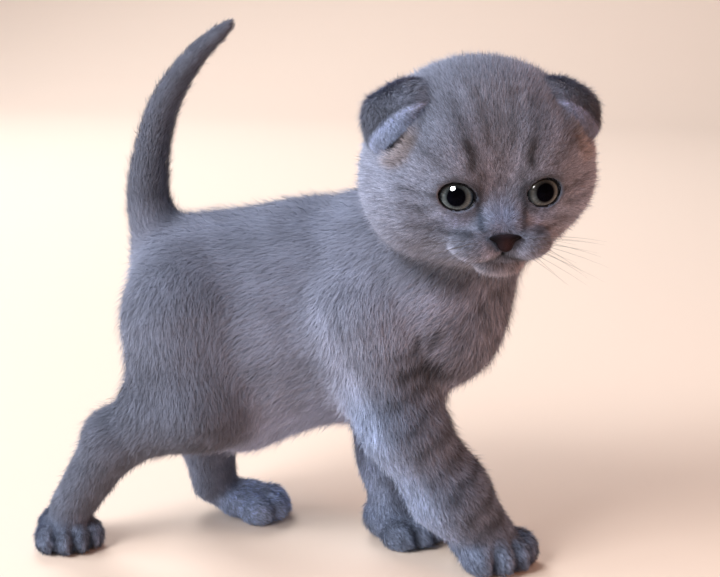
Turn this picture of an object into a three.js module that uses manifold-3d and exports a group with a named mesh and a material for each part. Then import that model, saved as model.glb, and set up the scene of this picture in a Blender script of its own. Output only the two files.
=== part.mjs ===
// A still, life-size Scottish fold kitten of about five weeks, in mid walk: the tail is up and the
// head is turned to its own right. Millimetres, +X forward along the body, +Y to the kitten's left,
// +Z up, and the soles of the paws stand at z = 0. The outline includes the short, plush coat.
import * as THREE from "three";
import { mergeVertices } from "three/addons/utils/BufferGeometryUtils.js";
import Module from "manifold-3d";

const wasm = await Module();
wasm.setup();

// Driving dimensions.
const BACK_HEIGHT = 110.5; // top of the coat over the ribs
const BODY_HALF_WIDTH = 29; // at the ribs and belly
const HEAD_HALF_WIDTH = 33; // over the cheeks
const HEAD_CENTRE = [40.2, -22, 123.2];
const HEAD_YAW = -73; // degrees from straight ahead, towards the kitten's right
const HEAD_ROLL = 1.5;
const EYE_RADIUS = 7;
const EYE_SPACING = 20.6; // between the eyes' centres
const PAW_WIDTH = 22.5; // a front paw; a hind paw is a little narrower
const HIND_PAW_SHARE = 0.9;
const TAIL_ROOT_RADIUS = 8.8;
const TAIL_TIP_RADIUS = 2.6;
const EAR_WIDTH = 21; // along the ear's base
const GAP = 0.3; // between nodes that touch

// Cell sizes of the faceted surfaces: the head and paws are finer than the body.
const BODY_CELL = 5.6;
const HEAD_CELL = 3.5;
const PAW_CELL = 2.9;
const NOSE_CELL = 1.4;

const FUR = { color: 0x6f7280, roughness: 0.95, metalness: 0 };
const DARK_FUR = { color: 0x4f525f, roughness: 0.95, metalness: 0 };
const PAW_FUR = { color: 0x7a8090, roughness: 0.95, metalness: 0 };
const EYE = { color: 0x23282e, roughness: 0.08, metalness: 0 };
const NOSE = { color: 0x54505c, roughness: 0.55, metalness: 0 };

const vec = (list) => new THREE.Vector3(...list);
const radians = THREE.MathUtils.degToRad;
const mirrored = ([x, y, z], side) => [x, y * side, z];
const length = (x, y, z) => Math.sqrt(x * x + y * y + z * z);

// Two shapes flow into each other over a width of about k.
function flow(a, b, k) {
  const h = Math.max(k - Math.abs(a - b), 0) / k;
  return Math.min(a, b) - (h * h * k) / 4;
}

// A field is a function of a point: below zero inside, above zero outside, near to a distance.
function ellipsoid(centre, radii) {
  const c = vec(centre);
  const r = vec(radii);
  return (p) => {
    const x = p.x - c.x;
    const y = p.y - c.y;
    const z = p.z - c.z;
    const near = length(x / r.x, y / r.y, z / r.z);
    const slope = length(x / (r.x * r.x), y / (r.y * r.y), z / (r.z * r.z));
    return slope < 1e-6 ? -Math.min(r.x, r.y, r.z) : (near * (near - 1)) / slope;
  };
}

// A tapering length of limb with round ends.
function limb(start, end, startRadius, endRadius) {
  const a = vec(start);
  const along = vec(end).sub(a);
  const length2 = along.lengthSq();
  return (p) => {
    const x = p.x - a.x;
    const y = p.y - a.y;
    const z = p.z - a.z;
    const share = Math.min(1, Math.max(0, (x * along.x + y * along.y + z * along.z) / length2));
    const off = length(x - along.x * share, y - along.y * share, z - along.z * share);
    return off - (startRadius + (endRadius - startRadius) * share);
  };
}

// Joins fields one by one, each with its own width of flow: [field, k], [field, k] and so on.
function joined(...parts) {
  return (p) => {
    let value = Infinity;
    for (const [field, k] of parts) value = value === Infinity ? field(p) : flow(value, field(p), k);
    return value;
  };
}

// A field given in a turned and moved frame of its own.
function placed(field, matrix) {
  const inverse = matrix.clone().invert();
  const q = new THREE.Vector3();
  return (p) => field(q.copy(p).applyMatrix4(inverse));
}

function turnedFrom(axis, way) {
  return new THREE.Quaternion().setFromUnitVectors(vec(axis), way.clone().normalize());
}

function frameAt(centre, yaw, roll = 0) {
  const turn = new THREE.Quaternion()
    .setFromAxisAngle(new THREE.Vector3(0, 0, 1), radians(yaw))
    .multiply(new THREE.Quaternion().setFromAxisAngle(new THREE.Vector3(1, 0, 0), radians(roll)));
  return new THREE.Matrix4().compose(vec(centre), turn, new THREE.Vector3(1, 1, 1));
}

// Body: ellipsoids from the rump to the breast. The spine bends a little to the kitten's right.
const torso = joined(
  [ellipsoid([-49, 0, 73], [18.5, 22, 28]), 1],
  [ellipsoid([-34, 0, BACK_HEIGHT - 44.5], [28, BODY_HALF_WIDTH - 1, 38.5]), 14],
  [ellipsoid([-10, -1, BACK_HEIGHT - 36], [30, BODY_HALF_WIDTH, 36]), 14],
  [ellipsoid([12, -4, BACK_HEIGHT - 33], [24, BODY_HALF_WIDTH - 3, 35]), 14],
  [ellipsoid([30, -12, 82], [20, 19.5, 26]), 12],
);
const neck = limb([21, -8, 94], [38, -17, 110], 22, 21.5);

// Head, in its own frame: +X out of the nose, +Y to its left, +Z up.
const headFrame = frameAt(HEAD_CENTRE, HEAD_YAW, HEAD_ROLL);
const EYE_CENTRE = [21, EYE_SPACING / 2, -3];
const NOSE_CENTRE = [33.2, 0, -13.9];
const pair = (field) => [field(1), field(-1)];
// The head is turned to the right: there the coat bunches up at the cheek, at the left it's drawn flat.
const cheekRight = ellipsoid([3, -14.5, -5], [21, HEAD_HALF_WIDTH - 14.5, 16]);
const cheekLeft = ellipsoid([3, 11.5, -4.5], [20, HEAD_HALF_WIDTH - 16, 13.5]);
const [padLeft, padRight] = pair((side) => ellipsoid([27.2, 6.6 * side, -16], [7.4, 7.4, 5]));
const [bridgeLeft, bridgeRight] = pair((side) => limb([21, 2 * side, -1], [28.6, 2.2 * side, -10], 4.8, 3.7));
const [lidLeft, lidRight] = pair((side) =>
  ellipsoid(mirrored(EYE_CENTRE, side), [EYE_RADIUS + 1.3, EYE_RADIUS + 1.7, EYE_RADIUS + 0.9]));
const [browLeft, browRight] = pair((side) => ellipsoid([19.5, 10 * side, 7.5], [8.5, 10, 7.5]));
const face = joined(
  [ellipsoid([-2, 0, 2.8], [31.5, HEAD_HALF_WIDTH - 1.5, 27.8]), 1],
  [cheekLeft, 10],
  [cheekRight, 10],
  [browLeft, 9],
  [browRight, 9],
  [ellipsoid([5, -4, -11], [17, 24.5, 15.5]), 8],
  [ellipsoid([16.5, 0, -14.8], [14, 15.5, 9.4]), 7],
  [bridgeLeft, 4],
  [bridgeRight, 3],
  [lidLeft, 3],
  [lidRight, 3],
  [padLeft, 3],
  [padRight, 2],
  [ellipsoid([24, 0, -21.6], [6, 7, 4]), 2.2],
);
const head = placed(face, headFrame);

// Paws, each in its own frame: +X towards the toes, the sole just under z = 0.
const TOE_SPREAD = [-0.36, -0.125, 0.125, 0.36]; // across the paw, as shares of its width
const TOE_REACH = [0.2, 0.34, 0.34, 0.2]; // forward, as shares of the width
function pawField(width) {
  const shared = (shares) => shares.map((share) => width * share);
  const toes = TOE_SPREAD.map((across, i) => [
    ellipsoid(shared([TOE_REACH[i], across, 0.19]), shared([0.27, 0.165, 0.24])),
    0.9,
  ]);
  return joined(...toes, [ellipsoid(shared([-0.12, 0, 0.26]), shared([0.47, 0.42, 0.3])), 2.2]);
}

// Each leg: its joints from the shoulder or hip down, the radii over the coat, the paw and its turn.
// A hind leg also has the back of its thigh, from the seat down.
const LEGS = {
  front_right: { joints: [[9, -17, 78], [18.5, -20, 48], [31.5, -13, 24.5], [41, -8, 10.5]],
    radii: [19, 13.2, 12, 9.8], paw: [43, -5.5, 0], turn: -45, width: PAW_WIDTH * 1.06,
    cut: { from: [7, -26, 78], to: [38, -12, 13], radius: 20 } },
  front_left: { joints: [[12, 15, 74], [4, 18.5, 50], [10, 13, 25.5], [12.5, 10.5, 10.5]],
    radii: [18, 13.5, 10.2, 9.4], paw: [14.5, 8.5, 0], turn: -30, width: PAW_WIDTH,
    cut: { from: [9, 25, 74], to: [13, 12, 12], radius: 19 } },
  hind_right: { joints: [[-46, -12, 74], [-41, -18, 51], [-68.8, -16.5, 36.5], [-84.6, -14, 12]],
    radii: [21.5, 16, 10, 7.4], paw: [-86.3, -14, 0], turn: -60, width: PAW_WIDTH * HIND_PAW_SHARE,
    thigh: [[-48, -13, 66], [-53.5, -15.5, 50]], thighRadii: [17.5, 14],
    cut: { from: [-50, -26, 74], to: [-81, -16, 19], radius: 22 } },
  hind_left: { joints: [[-43, 12, 74], [-35, 19, 49], [-51, 21, 27], [-48.5, 20.5, 10.5]],
    radii: [21, 14, 9.6, 8.2], paw: [-36, 19.3, 0], turn: -6, width: PAW_WIDTH * HIND_PAW_SHARE,
    thigh: [[-44, 13, 66], [-46, 16, 48]], thighRadii: [17, 12],
    cut: { from: [-44, 27, 72], to: [-47.5, 21.5, 12], radius: 21 } },
};
const legField = ({ joints, radii, thigh, thighRadii }) => joined(
  [limb(joints[0], joints[1], radii[0], radii[1]), 1],
  [limb(joints[1], joints[2], radii[1], radii[2]), 7],
  [limb(joints[2], joints[3], radii[2], radii[3]), 6],
  ...(thigh ? [[limb(...thigh, ...thighRadii), 7]] : []),
);
const pawFrame = (leg) => frameAt(leg.paw, leg.turn);
const wholeLeg = (leg) => joined([legField(leg), 1], [placed(pawField(leg.width), pawFrame(leg)), 4]);

// Tail: held up, with its tip bent forward.
const TAIL_LINE = [
  [-56, 0, 86], [-60.6, 0, 101], [-60.8, 0, 115], [-56.3, 0, 133], [-47, 0, 147.8], [-36, 0, 158],
];
const tailCurve = new THREE.CatmullRomCurve3(TAIL_LINE.map(vec));
const tailRadius = (share) => THREE.MathUtils.lerp(TAIL_ROOT_RADIUS, TAIL_TIP_RADIUS, share ** 1.3);
const tailRoot = limb(TAIL_LINE[0], TAIL_LINE[2], tailRadius(0), tailRadius(0.4));

const legFields = Object.values(LEGS).map((leg) => [wholeLeg(leg), 7]);
const body = joined([torso, 1], [neck, 14], ...legFields, [tailRoot, 9], [head, 4.5]);

// Draws a field's surface as a net of triangles, one corner to each cell that the surface crosses.
// A cell's corner stands where place() puts it: count holds the number of corners along each axis.
function surfaceNet(field, count, place, cell) {
  const at = (i, j, k) => (k * count[1] + j) * count[0] + i;
  const spots = [];
  for (let k = 0; k < count[2]; k++)
    for (let j = 0; j < count[1]; j++)
      for (let i = 0; i < count[0]; i++) spots.push(place(i, j, k));
  const value = Float32Array.from(spots, field);

  const corner = new Map();
  const points = [];
  const steps = [[1, 0, 0], [0, 1, 0], [0, 0, 1]];
  const cornerOf = (i, j, k) => {
    const key = at(i, j, k);
    if (corner.has(key)) return corner.get(key);
    const sum = new THREE.Vector3();
    let crossings = 0;
    for (let axis = 0; axis < 3; axis++)
      for (let side = 0; side < 4; side++) {
        const base = [i, j, k];
        base[(axis + 1) % 3] += side & 1;
        base[(axis + 2) % 3] += side >> 1;
        const a = at(...base);
        const b = at(...base.map((v, n) => v + steps[axis][n]));
        if (value[a] < 0 === value[b] < 0) continue;
        sum.add(spots[a].clone().lerp(spots[b], value[a] / (value[a] - value[b])));
        crossings++;
      }
    corner.set(key, points.length);
    points.push(sum.divideScalar(crossings));
    return points.length - 1;
  };

  const faces = [];
  for (let k = 1; k < count[2] - 1; k++)
    for (let j = 1; j < count[1] - 1; j++)
      for (let i = 1; i < count[0] - 1; i++)
        for (let axis = 0; axis < 3; axis++) {
          const [dx, dy, dz] = steps[axis];
          const here = value[at(i, j, k)] < 0;
          if (here === value[at(i + dx, j + dy, k + dz)] < 0) continue;
          const b = steps[(axis + 1) % 3];
          const c = steps[(axis + 2) % 3];
          const quad = [[0, 0], [1, 0], [1, 1], [0, 1]].map(([m, n]) =>
            cornerOf(i - m * b[0] - n * c[0], j - m * b[1] - n * c[1], k - m * b[2] - n * c[2]));
          faces.push(here ? quad : quad.reverse());
        }
  return settle(field, points, faces, cell);
}

// Evens the net out and pulls each corner onto the surface.
function settle(field, points, faces, cell) {
  const q = new THREE.Vector3();
  const pull = (point) => {
    const step = cell * 0.02;
    const here = field(point);
    const slope = new THREE.Vector3(
      field(q.copy(point).setX(point.x + step)) - here,
      field(q.copy(point).setY(point.y + step)) - here,
      field(q.copy(point).setZ(point.z + step)) - here,
    ).divideScalar(step);
    const move = THREE.MathUtils.clamp(-here / Math.max(slope.lengthSq(), 0.05), -cell / 3, cell / 3);
    point.addScaledVector(slope, move);
  };
  for (let round = 0; round < 4; round++) {
    const sums = points.map(() => new THREE.Vector3());
    const counts = new Uint16Array(points.length);
    for (const quad of faces)
      quad.forEach((v, n) => {
        sums[v].add(points[quad[(n + 1) % 4]]).add(points[quad[(n + 3) % 4]]);
        counts[v] += 2;
      });
    points.forEach((point, v) => point.lerp(sums[v].divideScalar(counts[v]), 0.35));
    points.forEach(pull);
    points.forEach(pull);
  }
  const index = faces.flatMap(([a, b, c, d]) =>
    points[a].distanceTo(points[c]) < points[b].distanceTo(points[d])
      ? [a, b, c, a, c, d]
      : [a, b, d, b, c, d]);
  const geometry = new THREE.BufferGeometry().setFromPoints(points);
  return geometry.setIndex(index);
}

// A closed geometry as a solid, with its shared corners merged and its empty triangles dropped.
function solid(geometry, matrix = new THREE.Matrix4()) {
  const bare = new THREE.BufferGeometry().setAttribute("position", geometry.getAttribute("position").clone());
  bare.setIndex(geometry.index);
  const merged = mergeVertices(bare.applyMatrix4(matrix), 1e-4);
  const triangles = [];
  for (let i = 0; i < merged.index.count; i += 3) {
    const [a, b, c] = [0, 1, 2].map((n) => merged.index.getX(i + n));
    if (a !== b && b !== c && c !== a) triangles.push(a, b, c);
  }
  const mesh = new wasm.Mesh({
    numProp: 3,
    vertProperties: Float32Array.from(merged.attributes.position.array),
    triVerts: Uint32Array.from(triangles),
  });
  return new wasm.Manifold(mesh);
}

// The largest closed surface of a solid.
function largest(made) {
  return made.decompose().sort((a, b) => b.volume() - a.volume())[0];
}

// Moves corners that all but coincide a hair apart, so that each stays a corner of its own.
function spread(position) {
  const size = 0.004;
  const boxes = new Map();
  const p = new THREE.Vector3();
  const q = new THREE.Vector3();
  for (let v = 0; v < position.length; v += 3) {
    p.fromArray(position, v);
    const cell = p.clone().divideScalar(size).floor();
    for (let n = 0; n < 27; n++) {
      const beside = new THREE.Vector3((n % 3) - 1, (Math.floor(n / 3) % 3) - 1, Math.floor(n / 9) - 1);
      const key = beside.add(cell).toArray().join();
      for (const other of boxes.get(key) ?? []) {
        q.fromArray(position, other);
        const apart = p.clone().sub(q);
        if (apart.length() > 0.003) continue;
        if (apart.length() < 1e-6) apart.set(1, 0, 0);
        p.copy(q).addScaledVector(apart.normalize(), 0.006);
      }
    }
    p.toArray(position, v);
    const key = p.clone().divideScalar(size).floor().toArray().join();
    boxes.set(key, [...(boxes.get(key) ?? []), v]);
  }
}

function meshOf(name, made, material) {
  const { vertProperties, triVerts, numProp, numVert } = largest(made).getMesh();
  const position = new Float32Array(numVert * 3);
  for (let i = 0; i < numVert; i++) {
    position.set(vertProperties.subarray(i * numProp, i * numProp + 3), i * 3);
  }
  spread(position);
  const geometry = new THREE.BufferGeometry()
    .setAttribute("position", new THREE.BufferAttribute(position, 3))
    .setIndex(new THREE.BufferAttribute(triVerts, 1));
  const mesh = new THREE.Mesh(geometry, new THREE.MeshStandardMaterial(material));
  mesh.name = name;
  return mesh;
}

// The part of a solid on the side of a plane that its normal points to, less half the gap.
function beyond(made, point, normal) {
  const n = vec(normal).normalize();
  return made.trimByPlane(n.toArray(), n.dot(vec(point)) + GAP / 2);
}
const before = (made, point, normal) => beyond(made, point, normal.map((v) => -v));

// Where the nodes part: a point and the direction from the body outwards.
const NECK_TOP = [[36, -12, 103.5], [0.5, -0.42, 0.76]];
const NECK_FOOT = [[24, -7, 93], [0.58, -0.3, 0.76]];
const TAIL_ROOT = [[-60.6, 0, 103.5], [-0.05, 0, 1]];

// The net of a field inside a box.
function net(low, high, cell, field = body) {
  const count = low.map((v, i) => Math.ceil((high[i] - v) / cell) + 1);
  const top = vec(count).subScalar(1).multiplyScalar(cell).add(vec(low));
  const middle = vec(low).add(top).multiplyScalar(0.5);
  const half = top.sub(middle).subScalar(cell * 1.2);
  const bounded = (p) => Math.max(
    field(p),
    Math.abs(p.x - middle.x) - half.x,
    Math.abs(p.y - middle.y) - half.y,
    Math.abs(p.z - middle.z) - half.z,
  );
  const place = (i, j, k) => new THREE.Vector3(i, j, k).multiplyScalar(cell).add(vec(low));
  return solid(surfaceNet(bounded, count, place, cell));
}
const onFloor = (made) => made.trimByPlane([0, 0, 1], 0);

const wholeBody = onFloor(net([-112, -62, -9], [92, 62, 150], BODY_CELL));
const meshes = [];

// Legs: each is the part of the body inside a round-ended bar, so that it takes its shoulder or thigh.
function bar({ from, to, radius }, extra = 0) {
  const line = vec(to).sub(vec(from));
  const turn = turnedFrom([0, 1, 0], line);
  const middle = vec(from).addScaledVector(line, 0.5);
  const matrix = new THREE.Matrix4().compose(middle, turn, new THREE.Vector3(1, 1, 1));
  return solid(new THREE.CapsuleGeometry(radius + extra, line.length() + radius, 4, 16), matrix);
}
let trunk = wholeBody;
for (const [name, leg] of Object.entries(LEGS)) {
  const [, , wrist, ankle] = leg.joints;
  const down = vec(ankle).sub(vec(wrist)).toArray();
  const cuff = vec(wrist).lerp(vec(ankle), 0.55).toArray();
  const upper = largest(trunk.intersect(bar(leg.cut)));
  meshes.push(meshOf(`${name}_leg`, before(upper, cuff, down), FUR));
  const foot = vec(leg.paw).lerp(vec(ankle).setZ(0), 0.5);
  const reach = leg.width * 0.85 + foot.distanceTo(vec(leg.paw));
  const low = [foot.x - reach, foot.y - reach, -6];
  const high = [foot.x + reach, foot.y + reach, 30];
  const nearby = onFloor(net(low, high, PAW_CELL));
  meshes.push(meshOf(`${name}_paw`, beyond(nearby, cuff, down), PAW_FUR));
  trunk = trunk.subtract(bar(leg.cut, GAP));
}

// Torso and neck.
meshes.push(meshOf("neck", before(beyond(trunk, ...NECK_FOOT), ...NECK_TOP), FUR));
const [tailPoint, tailWay] = TAIL_ROOT;
const tailSpace = solid(
  new THREE.CylinderGeometry(16, 16, 40, 14).rotateX(Math.PI / 2).translate(0, 0, 20 - GAP / 2),
  new THREE.Matrix4().makeRotationFromQuaternion(turnedFrom([0, 0, 1], vec(tailWay))).setPosition(...tailPoint));
meshes.push(meshOf("torso", before(trunk, ...NECK_FOOT).subtract(tailSpace), FUR));

// Tail: rings along its curve, closed at both ends.
function sweep(curve, radiusAt, rings, sides) {
  const points = [];
  for (let i = 0; i <= rings; i++) {
    const share = i / rings;
    const tangent = curve.getTangentAt(share);
    const across = new THREE.Vector3(0, 1, 0);
    const up = tangent.clone().cross(across).normalize();
    for (let j = 0; j < sides; j++) {
      const turn = (j / sides) * Math.PI * 2;
      points.push(curve.getPointAt(share)
        .addScaledVector(across, Math.cos(turn) * radiusAt(share))
        .addScaledVector(up, Math.sin(turn) * radiusAt(share)));
    }
  }
  const first = points.push(curve.getPointAt(0)) - 1;
  const last = points.push(curve.getPointAt(1).addScaledVector(curve.getTangentAt(1), radiusAt(1) * 0.8)) - 1;
  const index = [];
  for (let j = 0; j < sides; j++) {
    const next = (j + 1) % sides;
    const end = rings * sides;
    index.push(first, next, j);
    index.push(last, end + j, end + next);
    for (let i = 0; i < rings; i++) {
      const [a, b] = [i * sides + j, i * sides + next];
      index.push(a, b, b + sides);
      index.push(a, b + sides, a + sides);
    }
  }
  return solid(new THREE.BufferGeometry().setFromPoints(points).setIndex(index));
}
const wholeTail = sweep(tailCurve, tailRadius, 18, 12);
meshes.push(meshOf("tail", beyond(wholeTail, ...TAIL_ROOT), DARK_FUR));

// Head: the eyes, the nose and the ears are nodes of their own, set into it.
const toHead = (point) => vec(point).applyMatrix4(headFrame);
const HEAD_REACH = [42, 40, 38];
// The head's cells are small at the face and grow towards the back of the head.
const cellShare = (x) => 1.06 - x * 0.0085;
function headNet(field) {
  const count = HEAD_REACH.map((v) => Math.round((2 * v) / HEAD_CELL) + 1);
  const place = (i, j, k) => {
    const [x, y, z] = [i, j, k].map((v, n) => v * HEAD_CELL - HEAD_REACH[n]);
    const size = cellShare(x);
    return new THREE.Vector3(x, y * size, z * size).applyMatrix4(headFrame);
  };
  const local = new THREE.Vector3();
  const inverse = headFrame.clone().invert();
  const bounded = (p) => {
    local.copy(p).applyMatrix4(inverse);
    const size = cellShare(local.x);
    return Math.max(
      field(p),
      Math.abs(local.x) - HEAD_REACH[0] + HEAD_CELL * 1.2,
      Math.abs(local.y) - (HEAD_REACH[1] - HEAD_CELL * 1.2) * size,
      Math.abs(local.z) - (HEAD_REACH[2] - HEAD_CELL * 1.2) * size,
    );
  };
  return solid(surfaceNet(bounded, count, place, HEAD_CELL));
}
let headSolid = beyond(headNet(body), ...NECK_TOP);

// Eyes: a ball in its socket, behind an almond opening between the lids.
const EYE_OUTWARD = 12; // degrees that each eye looks outwards
const LID_OPENING = { width: 10.8, height: 8.6, tilt: 8 };
function almond({ width, height }) {
  const shape = new THREE.Shape();
  shape.moveTo(-width / 2, 0);
  shape.bezierCurveTo(-width * 0.42, height * 0.62, width * 0.36, height * 0.7, width / 2, 0);
  shape.bezierCurveTo(width * 0.34, -height * 0.66, -width * 0.3, -height * 0.66, -width / 2, 0);
  return new THREE.ExtrudeGeometry(shape, { depth: 14, bevelEnabled: false, curveSegments: 7 });
}
for (const [name, side] of [["right", -1], ["left", 1]]) {
  const look = new THREE.Quaternion().setFromEuler(new THREE.Euler(0, 0, radians(EYE_OUTWARD * side)));
  const eyeFrame = headFrame.clone().multiply(
    new THREE.Matrix4().compose(vec(mirrored(EYE_CENTRE, side)), look, new THREE.Vector3(1, 1, 1)));
  const ball = (radius, across, down) => solid(new THREE.SphereGeometry(radius, across, down), eyeFrame);
  // The extrusion's own Z is turned to the way the eye looks, with its Y kept up.
  const stand = new THREE.Matrix4().makeBasis(
    new THREE.Vector3(0, side, 0), new THREE.Vector3(0, 0, 1), new THREE.Vector3(1, 0, 0));
  const tilt = new THREE.Matrix4().makeRotationX(radians(LID_OPENING.tilt * side));
  const opening = new THREE.Matrix4().multiplyMatrices(eyeFrame, tilt).multiply(stand);
  const hole = almond(LID_OPENING);
  if (side < 0) hole.index = null;
  headSolid = headSolid.subtract(ball(EYE_RADIUS + GAP, 14, 10));
  headSolid = headSolid.subtract(solid(flipped(hole, side), opening));
  meshes.push(meshOf(`eye_${name}`, ball(EYE_RADIUS, 14, 10), EYE));
}

// A geometry whose faces are turned round when a frame mirrors it.
function flipped(geometry, side) {
  const flat = geometry.index ? geometry.toNonIndexed() : geometry;
  if (side > 0) return flat;
  const position = flat.getAttribute("position");
  const made = position.clone();
  for (let i = 0; i < position.count; i += 3) {
    made.setXYZ(i + 1, position.getX(i + 2), position.getY(i + 2), position.getZ(i + 2));
    made.setXYZ(i + 2, position.getX(i + 1), position.getY(i + 1), position.getZ(i + 1));
  }
  return new THREE.BufferGeometry().setAttribute("position", made);
}

// Nose: a rounded pad, wider above than below, with two nostrils.
const noseShape = joined(
  [ellipsoid([NOSE_CENTRE[0], 0, NOSE_CENTRE[2] + 0.8], [2.5, 4.7, 1.7]), 1],
  [ellipsoid([NOSE_CENTRE[0] - 0.1, 0, NOSE_CENTRE[2] - 1.2], [2.1, 2.4, 2.2]), 1.6],
);
const noseField = placed(noseShape, headFrame);
const noseNear = toHead(NOSE_CENTRE).toArray();
const noseBox = (extra) => net(
  noseNear.map((v) => v - 9), noseNear.map((v) => v + 9), NOSE_CELL, (p) => noseField(p) - extra);
let nose = noseBox(0);
headSolid = headSolid.subtract(noseBox(GAP));
const nostril = new THREE.SphereGeometry(1, 10, 7);
for (const side of [1, -1]) {
  const frame = new THREE.Matrix4().compose(
    vec([NOSE_CENTRE[0] + 1.7, 2.9 * side, NOSE_CENTRE[2] + 0.4]),
    new THREE.Quaternion().setFromEuler(new THREE.Euler(radians(-28 * side), 0, radians(20 * side))),
    new THREE.Vector3(1.1, 1.35, 0.62));
  nose = nose.subtract(solid(nostril, headFrame.clone().multiply(frame)));
}
meshes.push(meshOf("nose", nose, NOSE));

// The line of the mouth: a groove under the nose that parts into two, between the lips and the chin.
function onFace(y, z) {
  const p = new THREE.Vector3(46, y, z);
  for (let i = 0; i < 60 && face(p) > 0.01; i++) p.x -= face(p) * 0.7;
  return p;
}
function groove(points, width) {
  const path = new THREE.CatmullRomCurve3(points.map(([y, z]) => onFace(y, z)));
  const section = new THREE.Shape().absarc(0, 0, width, 0, Math.PI * 2);
  const options = { steps: 10, curveSegments: 3, extrudePath: path, bevelEnabled: false };
  return new THREE.ExtrudeGeometry(section, options);
}
const MOUTH_CORNER = [8.6, -20.6];
const MOUTH_MIDDLE = [0, -18.2];
const mouthLine = (side) => [
  [MOUTH_MIDDLE[0], MOUTH_MIDDLE[1]],
  [2.6 * side, -19.3],
  [5.8 * side, -20.2],
  [MOUTH_CORNER[0] * side, MOUTH_CORNER[1]],
];
for (const line of [mouthLine(1), mouthLine(-1), [[0, -15], [0, -16.8], MOUTH_MIDDLE]])
  headSolid = headSolid.subtract(solid(groove(line, 0.75), headFrame));

// Ears: a leaf of skin that rises behind the ear's opening, lies forward over the skull like a cap
// and turns down at a crest, so that its free margin hangs over a cup. u runs along the crest from
// the brow's side to the cheek's side, v from the root to the free margin. Its frame: X forward over
// the skull, Y along the crest, Z away from the skull, from the skull's point under the crest.
const EAR_PLACE = [11.5, 25, 14.6];
const EAR_OUT = [0.41, 0.73, 0.55];
const EAR_ALONG = [-0.38, 0.69, -0.62];
const EAR_THICKNESS = 2;
const EAR_SINK = { brow: 4, cheek: 2.6, edges: 3.2 }; // how far the crest's ends go down into the coat
const EAR_CORNER = 1.7; // the rise of the back of the ear towards the cheek's side
const EAR_SHORTER = { brow: 5.5, cheek: 3.2 }; // the flap's ends, against its middle
const EAR_CUP = { centre: [4.8, 0.5, -0.5], radii: [5.5, 6.5, 2.8] }; // the hollow under the flap
const EAR_PROFILE = [
  [-13, -3.5], [-12, -0.6], [-9.5, 2], [-4.5, 3.8], [0.5, 4.2], [3.6, 3.6], [5.6, 2], [6.3, 0.3],
];
const earCurve = new THREE.CatmullRomCurve3(EAR_PROFILE.map(([x, z]) => new THREE.Vector3(x, 0, z)));
function earPoint(u, v, lift) {
  const { smoothstep } = THREE.MathUtils;
  const rounding = Math.sqrt(1 - 0.45 * Math.max(0, (v - 0.75) / 0.25) ** 2);
  const width = EAR_WIDTH * (0.8 + 0.2 * smoothstep(v, 0, 0.5)) * rounding;
  const end = u > 0 ? "cheek" : "brow";
  const sunk = EAR_SINK[end] * u * u + EAR_SINK.edges * u ** 8;
  const middleOfBack = smoothstep(v, 0.1, 0.3) * (1 - smoothstep(v, 0.4, 0.7));
  const corner = EAR_CORNER * Math.exp(-(((u - 0.45) / 0.35) ** 2)) * middleOfBack;
  const shorter = EAR_SHORTER[end] * u * u * smoothstep(v, 0.6, 1);
  const tangent = earCurve.getTangentAt(v);
  const thick = EAR_THICKNESS * (1 - 0.4 * u * u) * (1 - 0.3 * v);
  return earCurve.getPointAt(v)
    .addScaledVector(new THREE.Vector3(-tangent.z, 0, tangent.x), lift * thick)
    .add(new THREE.Vector3(-shorter, (u * width) / 2, corner - sunk));
}
function earLeaf() {
  const across = 8;
  const down = 13;
  const points = [];
  for (const lift of [-0.5, 0.5])
    for (let j = 0; j <= down; j++)
      for (let i = 0; i <= across; i++) points.push(earPoint((i / across) * 2 - 1, j / down, lift));
  const at = (layer, i, j) => (layer * (down + 1) + j) * (across + 1) + i;
  const index = [];
  const quad = (a, b, c, d) => index.push(a, c, b, a, d, c);
  for (let j = 0; j < down; j++) {
    for (let i = 0; i < across; i++) {
      quad(at(0, i, j), at(0, i, j + 1), at(0, i + 1, j + 1), at(0, i + 1, j));
      quad(at(1, i, j), at(1, i + 1, j), at(1, i + 1, j + 1), at(1, i, j + 1));
    }
    quad(at(0, 0, j), at(1, 0, j), at(1, 0, j + 1), at(0, 0, j + 1));
    quad(at(0, across, j), at(0, across, j + 1), at(1, across, j + 1), at(1, across, j));
  }
  for (let i = 0; i < across; i++) {
    quad(at(0, i, 0), at(0, i + 1, 0), at(1, i + 1, 0), at(1, i, 0));
    quad(at(0, i, down), at(1, i, down), at(1, i + 1, down), at(0, i + 1, down));
  }
  return new THREE.BufferGeometry().setFromPoints(points).setIndex(index);
}
const outWay = vec(EAR_OUT).normalize();
const forwardWay = vec(EAR_ALONG).cross(outWay).normalize();
const alongWay = outWay.clone().cross(forwardWay);
const headSkin = headNet((p) => body(p) - GAP);
for (const [name, side] of [["right", -1], ["left", 1]]) {
  const leafFrame = new THREE.Matrix4().makeBasis(forwardWay, alongWay, outWay).setPosition(...EAR_PLACE);
  const frame = headFrame.clone().multiply(new THREE.Matrix4().makeScale(1, side, 1)).multiply(leafFrame);
  const hollow = new THREE.SphereGeometry(1, 12, 8).scale(...EAR_CUP.radii).translate(...EAR_CUP.centre);
  headSolid = headSolid.subtract(solid(flipped(hollow, side), frame));
  meshes.push(meshOf(`ear_${name}`, solid(flipped(earLeaf(), side), frame).subtract(headSkin), DARK_FUR));
}
meshes.push(meshOf("head", headSolid, FUR));

// The origin is the middle of the kitten's footprint, on the floor.
const kitten = new THREE.Group();
kitten.add(...meshes);
const box = new THREE.Box3().setFromObject(kitten);
const middle = box.getCenter(new THREE.Vector3());
for (const mesh of meshes) mesh.geometry.translate(-middle.x, -middle.y, -box.min.z);

export default kitten;
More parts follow.
